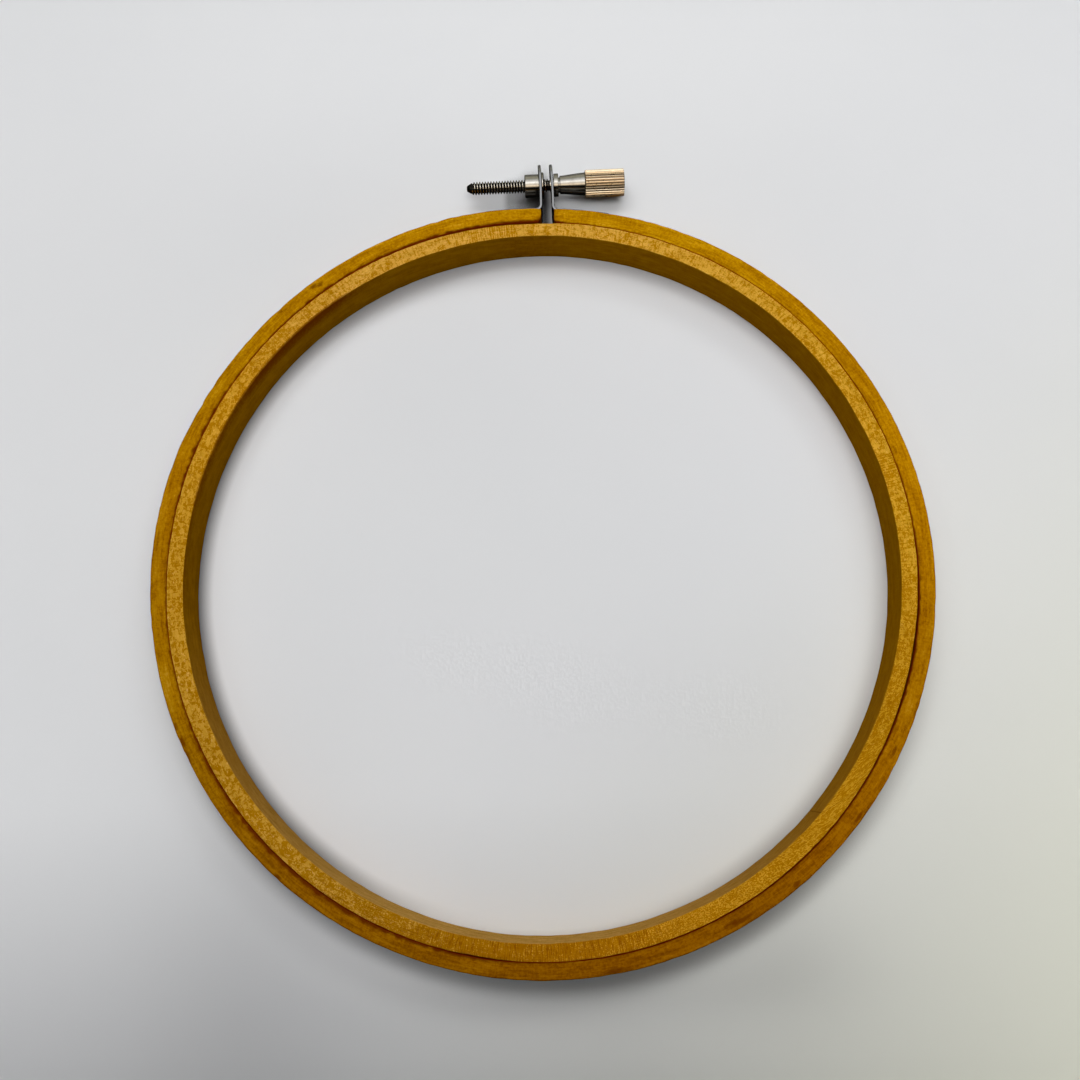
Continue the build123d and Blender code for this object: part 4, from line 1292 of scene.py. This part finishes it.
mat_inner, mat_outer = inner_wood(), outer_wood()
mat_nickel = metal("nickel_plate", (0.375, 0.357, 0.325), (0.18, 0.16, 0.13), 0.08, 0.14, True)
mat_screw = metal("nickel_screw", (0.375, 0.357, 0.325), (0.18, 0.16, 0.13), 0.08, 0.14, True, thread=(1.14, 1.37))
mat_head = metal("nickel_knurl", (0.78, 0.64, 0.455), (0.13, 0.09, 0.055), 0.26, 0.36, True, 0.15, (2.74, 2.86))
mat_lug = metal("lug_plate", (0.29, 0.29, 0.30), (0.11, 0.11, 0.115), 0.12, 0.22, False)
mat_nail = metal("nail_plate", (0.34, 0.335, 0.325), (0.14, 0.135, 0.13), 0.18, 0.30, False)
for ob, mat in ((inner, mat_inner), (right_arm, mat_outer), (foot_arc, mat_outer), (left_arm, mat_outer),
                (shank, mat_screw), (head, mat_head), (nut, mat_nickel), (right_lug, mat_lug),
                (left_lug, mat_lug), (right_nails, mat_nail), (left_nails, mat_nail)):
    ob.data.materials.clear()
    ob.data.materials.append(mat)

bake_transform(foot_arc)
for ob, body in ((inner, "inner"), (right_arm, "outer_right"), (left_arm, "outer_left"), (shank, "screw"),
                 (head, "screw"), (nut, "outer_left"), (right_lug, "outer_right"), (left_lug, "outer_left"),
                 (right_nails, "outer_right"), (left_nails, "outer_left")):
    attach(ob, body)
for ob, nodes in ((inner, ["inner_ring"]), (right_arm, ["outer_ring_right"]),
                  (foot_arc, ["outer_ring_right", "outer_ring_left"]), (left_arm, ["outer_ring_left"]),
                  (shank, ["thumb_screw"]), (head, ["thumb_screw"]), (nut, ["barrel_nut"]),
                  (right_lug, ["right_lug"]), (left_lug, ["left_lug"]),
                  (right_nails, ["right_lug_nails"]), (left_nails, ["left_lug_nails"])):
    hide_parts(*nodes)

# ----------------------------------------------------------- floor and lights
me = bpy.data.meshes.new("floor")
w = 6.0
me.from_pydata([(-w, -w, -0.00002), (w, -w, -0.00002), (w, w, -0.00002), (-w, w, -0.00002)], [], [(0, 1, 2, 3)])
floor = bpy.data.objects.new("floor", me)
scene.collection.objects.link(floor)
me.materials.append(floor_material())
floor.visible_glossy = False


def softbox(name, x, y, z, size_x, size_y, watts, colour=(1, 1, 1), aim=None, glints=False):
    """Glints light what shines; the others light the rest."""
    data = bpy.data.lights.new(name, "AREA")
    data.shape = "RECTANGLE"
    data.size, data.size_y = size_x, size_y
    data.energy = watts
    data.color = colour
    data.cycles.use_multiple_importance_sampling = glints
    ob = bpy.data.objects.new(name, data)
    scene.collection.objects.link(ob)
    ob.location = (x, y, z)
    d = Vector(aim if aim is not None else (x, y, 0)) - Vector((x, y, z))
    ob.rotation_mode = "QUATERNION"
    ob.rotation_quaternion = d.to_track_quat("-Z", "Y")
    ob.visible_diffuse = not glints
    ob.visible_glossy = glints
    return ob


softbox("near_light", 0.135, -0.15, 1.0, 0.73, 0.36, 4.72)
softbox("main_light", -0.16, 0.45, 1.0, 0.74, 0.36, 4.95)
softbox("left_light", -0.80, 0.15, 1.0, 0.38, 0.36, 1.15)
softbox("right_light", 0.80, 0.15, 1.0, 0.38, 0.36, 0.62)
softbox("high_light", 0.60, 0.85, 1.0, 0.75, 0.36, 4.60)
softbox("low_light", -0.28, -0.50, 1.0, 0.38, 0.36, 0.36)


def band(name, lo, hi, radiance, colour, wide=1.2):
    """A glint between two slopes, in degrees from straight up towards +Y, seen
    from the thumb screw."""
    y0, y1 = 0.0875 + math.tan(math.radians(lo)), 0.0875 + math.tan(math.radians(hi))
    softbox(name, 0.0, (y0 + y1) / 2, 1.0, wide, y1 - y0, radiance * math.pi * wide * (y1 - y0), colour, glints=True)


band("glint_1", -40.0, -32.0, 0.8, (1.0, 0.82, 0.60))
band("glint_2", -32.0, -21.0, 2.2, (1.0, 0.85, 0.66))
band("glint_3", -21.0, -11.0, 1.6, (1.0, 0.89, 0.76))
band("glint_4", -11.0, -1.0, 2.0, (1.0, 0.95, 0.86))
band("glint_5", -1.0, 9.0, 2.9, (1.0, 0.99, 1.0))
band("glint_6", 9.0, 18.0, 2.2, (1.0, 1.0, 1.0))
band("glint_7", 18.0, 29.0, 1.5, (0.99, 1.0, 1.0))
band("glint_8", 29.0, 39.0, 1.05, (0.98, 1.0, 0.98))
band("glint_9", 39.0, 49.0, 0.60, (0.98, 1.0, 0.92))
band("glint_10", 49.0, 80.0, 0.36, (1.0, 0.99, 0.74), 3.0)

# a dark card above the near side of the table, off camera
me = bpy.data.meshes.new("shade_card")
me.from_pydata([(-0.125, -0.36, 0.15), (0.085, -0.36, 0.15), (0.085, -0.088, 0.15), (-0.125, -0.088, 0.15)], [], [(0, 1, 2, 3)])
card = bpy.data.objects.new("shade_card", me)
scene.collection.objects.link(card)
g = Graph("black_card")
card_noise = g.noise(g.stretch(g.tree.nodes.new("ShaderNodeNewGeometry").outputs["Position"], (40, 40, 40)), 1.0, 2.0, 0.5)
g.shade(Base_Color=g.mix(card_noise, (0.02, 0.02, 0.02), (0.03, 0.03, 0.03)), Roughness=0.9, Specular_IOR_Level=0.1)
me.materials.append(g.mat)
card.visible_camera = False

world = bpy.data.worlds.new("world")
scene.world = world
world.use_nodes = True
bg = world.node_tree.nodes["Background"]
bg.inputs["Strength"].default_value = 1.0
sky = world.node_tree.nodes


def sky_ramp(value, lo, hi, a, b):
    n = sky.new("ShaderNodeMapRange")
    for key, v in (("From Min", lo), ("From Max", hi), ("To Min", a), ("To Max", b)):
        n.inputs[key].default_value = v
    world.node_tree.links.new(value, n.inputs["Value"])
    return n.outputs["Result"]


def sky_math(op, a, b=0.0):
    n = sky.new("ShaderNodeMath")
    n.operation = op
    for k, v in enumerate((a, b)):
        if hasattr(v, "is_linked"):
            world.node_tree.links.new(v, n.inputs[k])
        else:
            n.inputs[k].default_value = v
    return n.outputs[0]


coords = sky.new("ShaderNodeTexCoord")
split = sky.new("ShaderNodeSeparateXYZ")
world.node_tree.links.new(coords.outputs["Generated"], split.inputs[0])
far_side = sky_ramp(split.outputs[1], 0.55, 0.85, 0.0, 0.27)
ends = sky_ramp(sky_math("ABSOLUTE", split.outputs[0]), 0.60, 0.90, 0.0, 0.07)
light = sky_math("ADD", sky_math("MAXIMUM", far_side, ends), 0.006)
tinted = sky.new("ShaderNodeCombineColor")
for k, share in enumerate((1.0, 0.97, 0.86)):
    world.node_tree.links.new(sky_math("MULTIPLY", light, share), tinted.inputs[k])
world.node_tree.links.new(tinted.outputs[0], bg.inputs["Color"])
world.cycles_visibility.diffuse = False
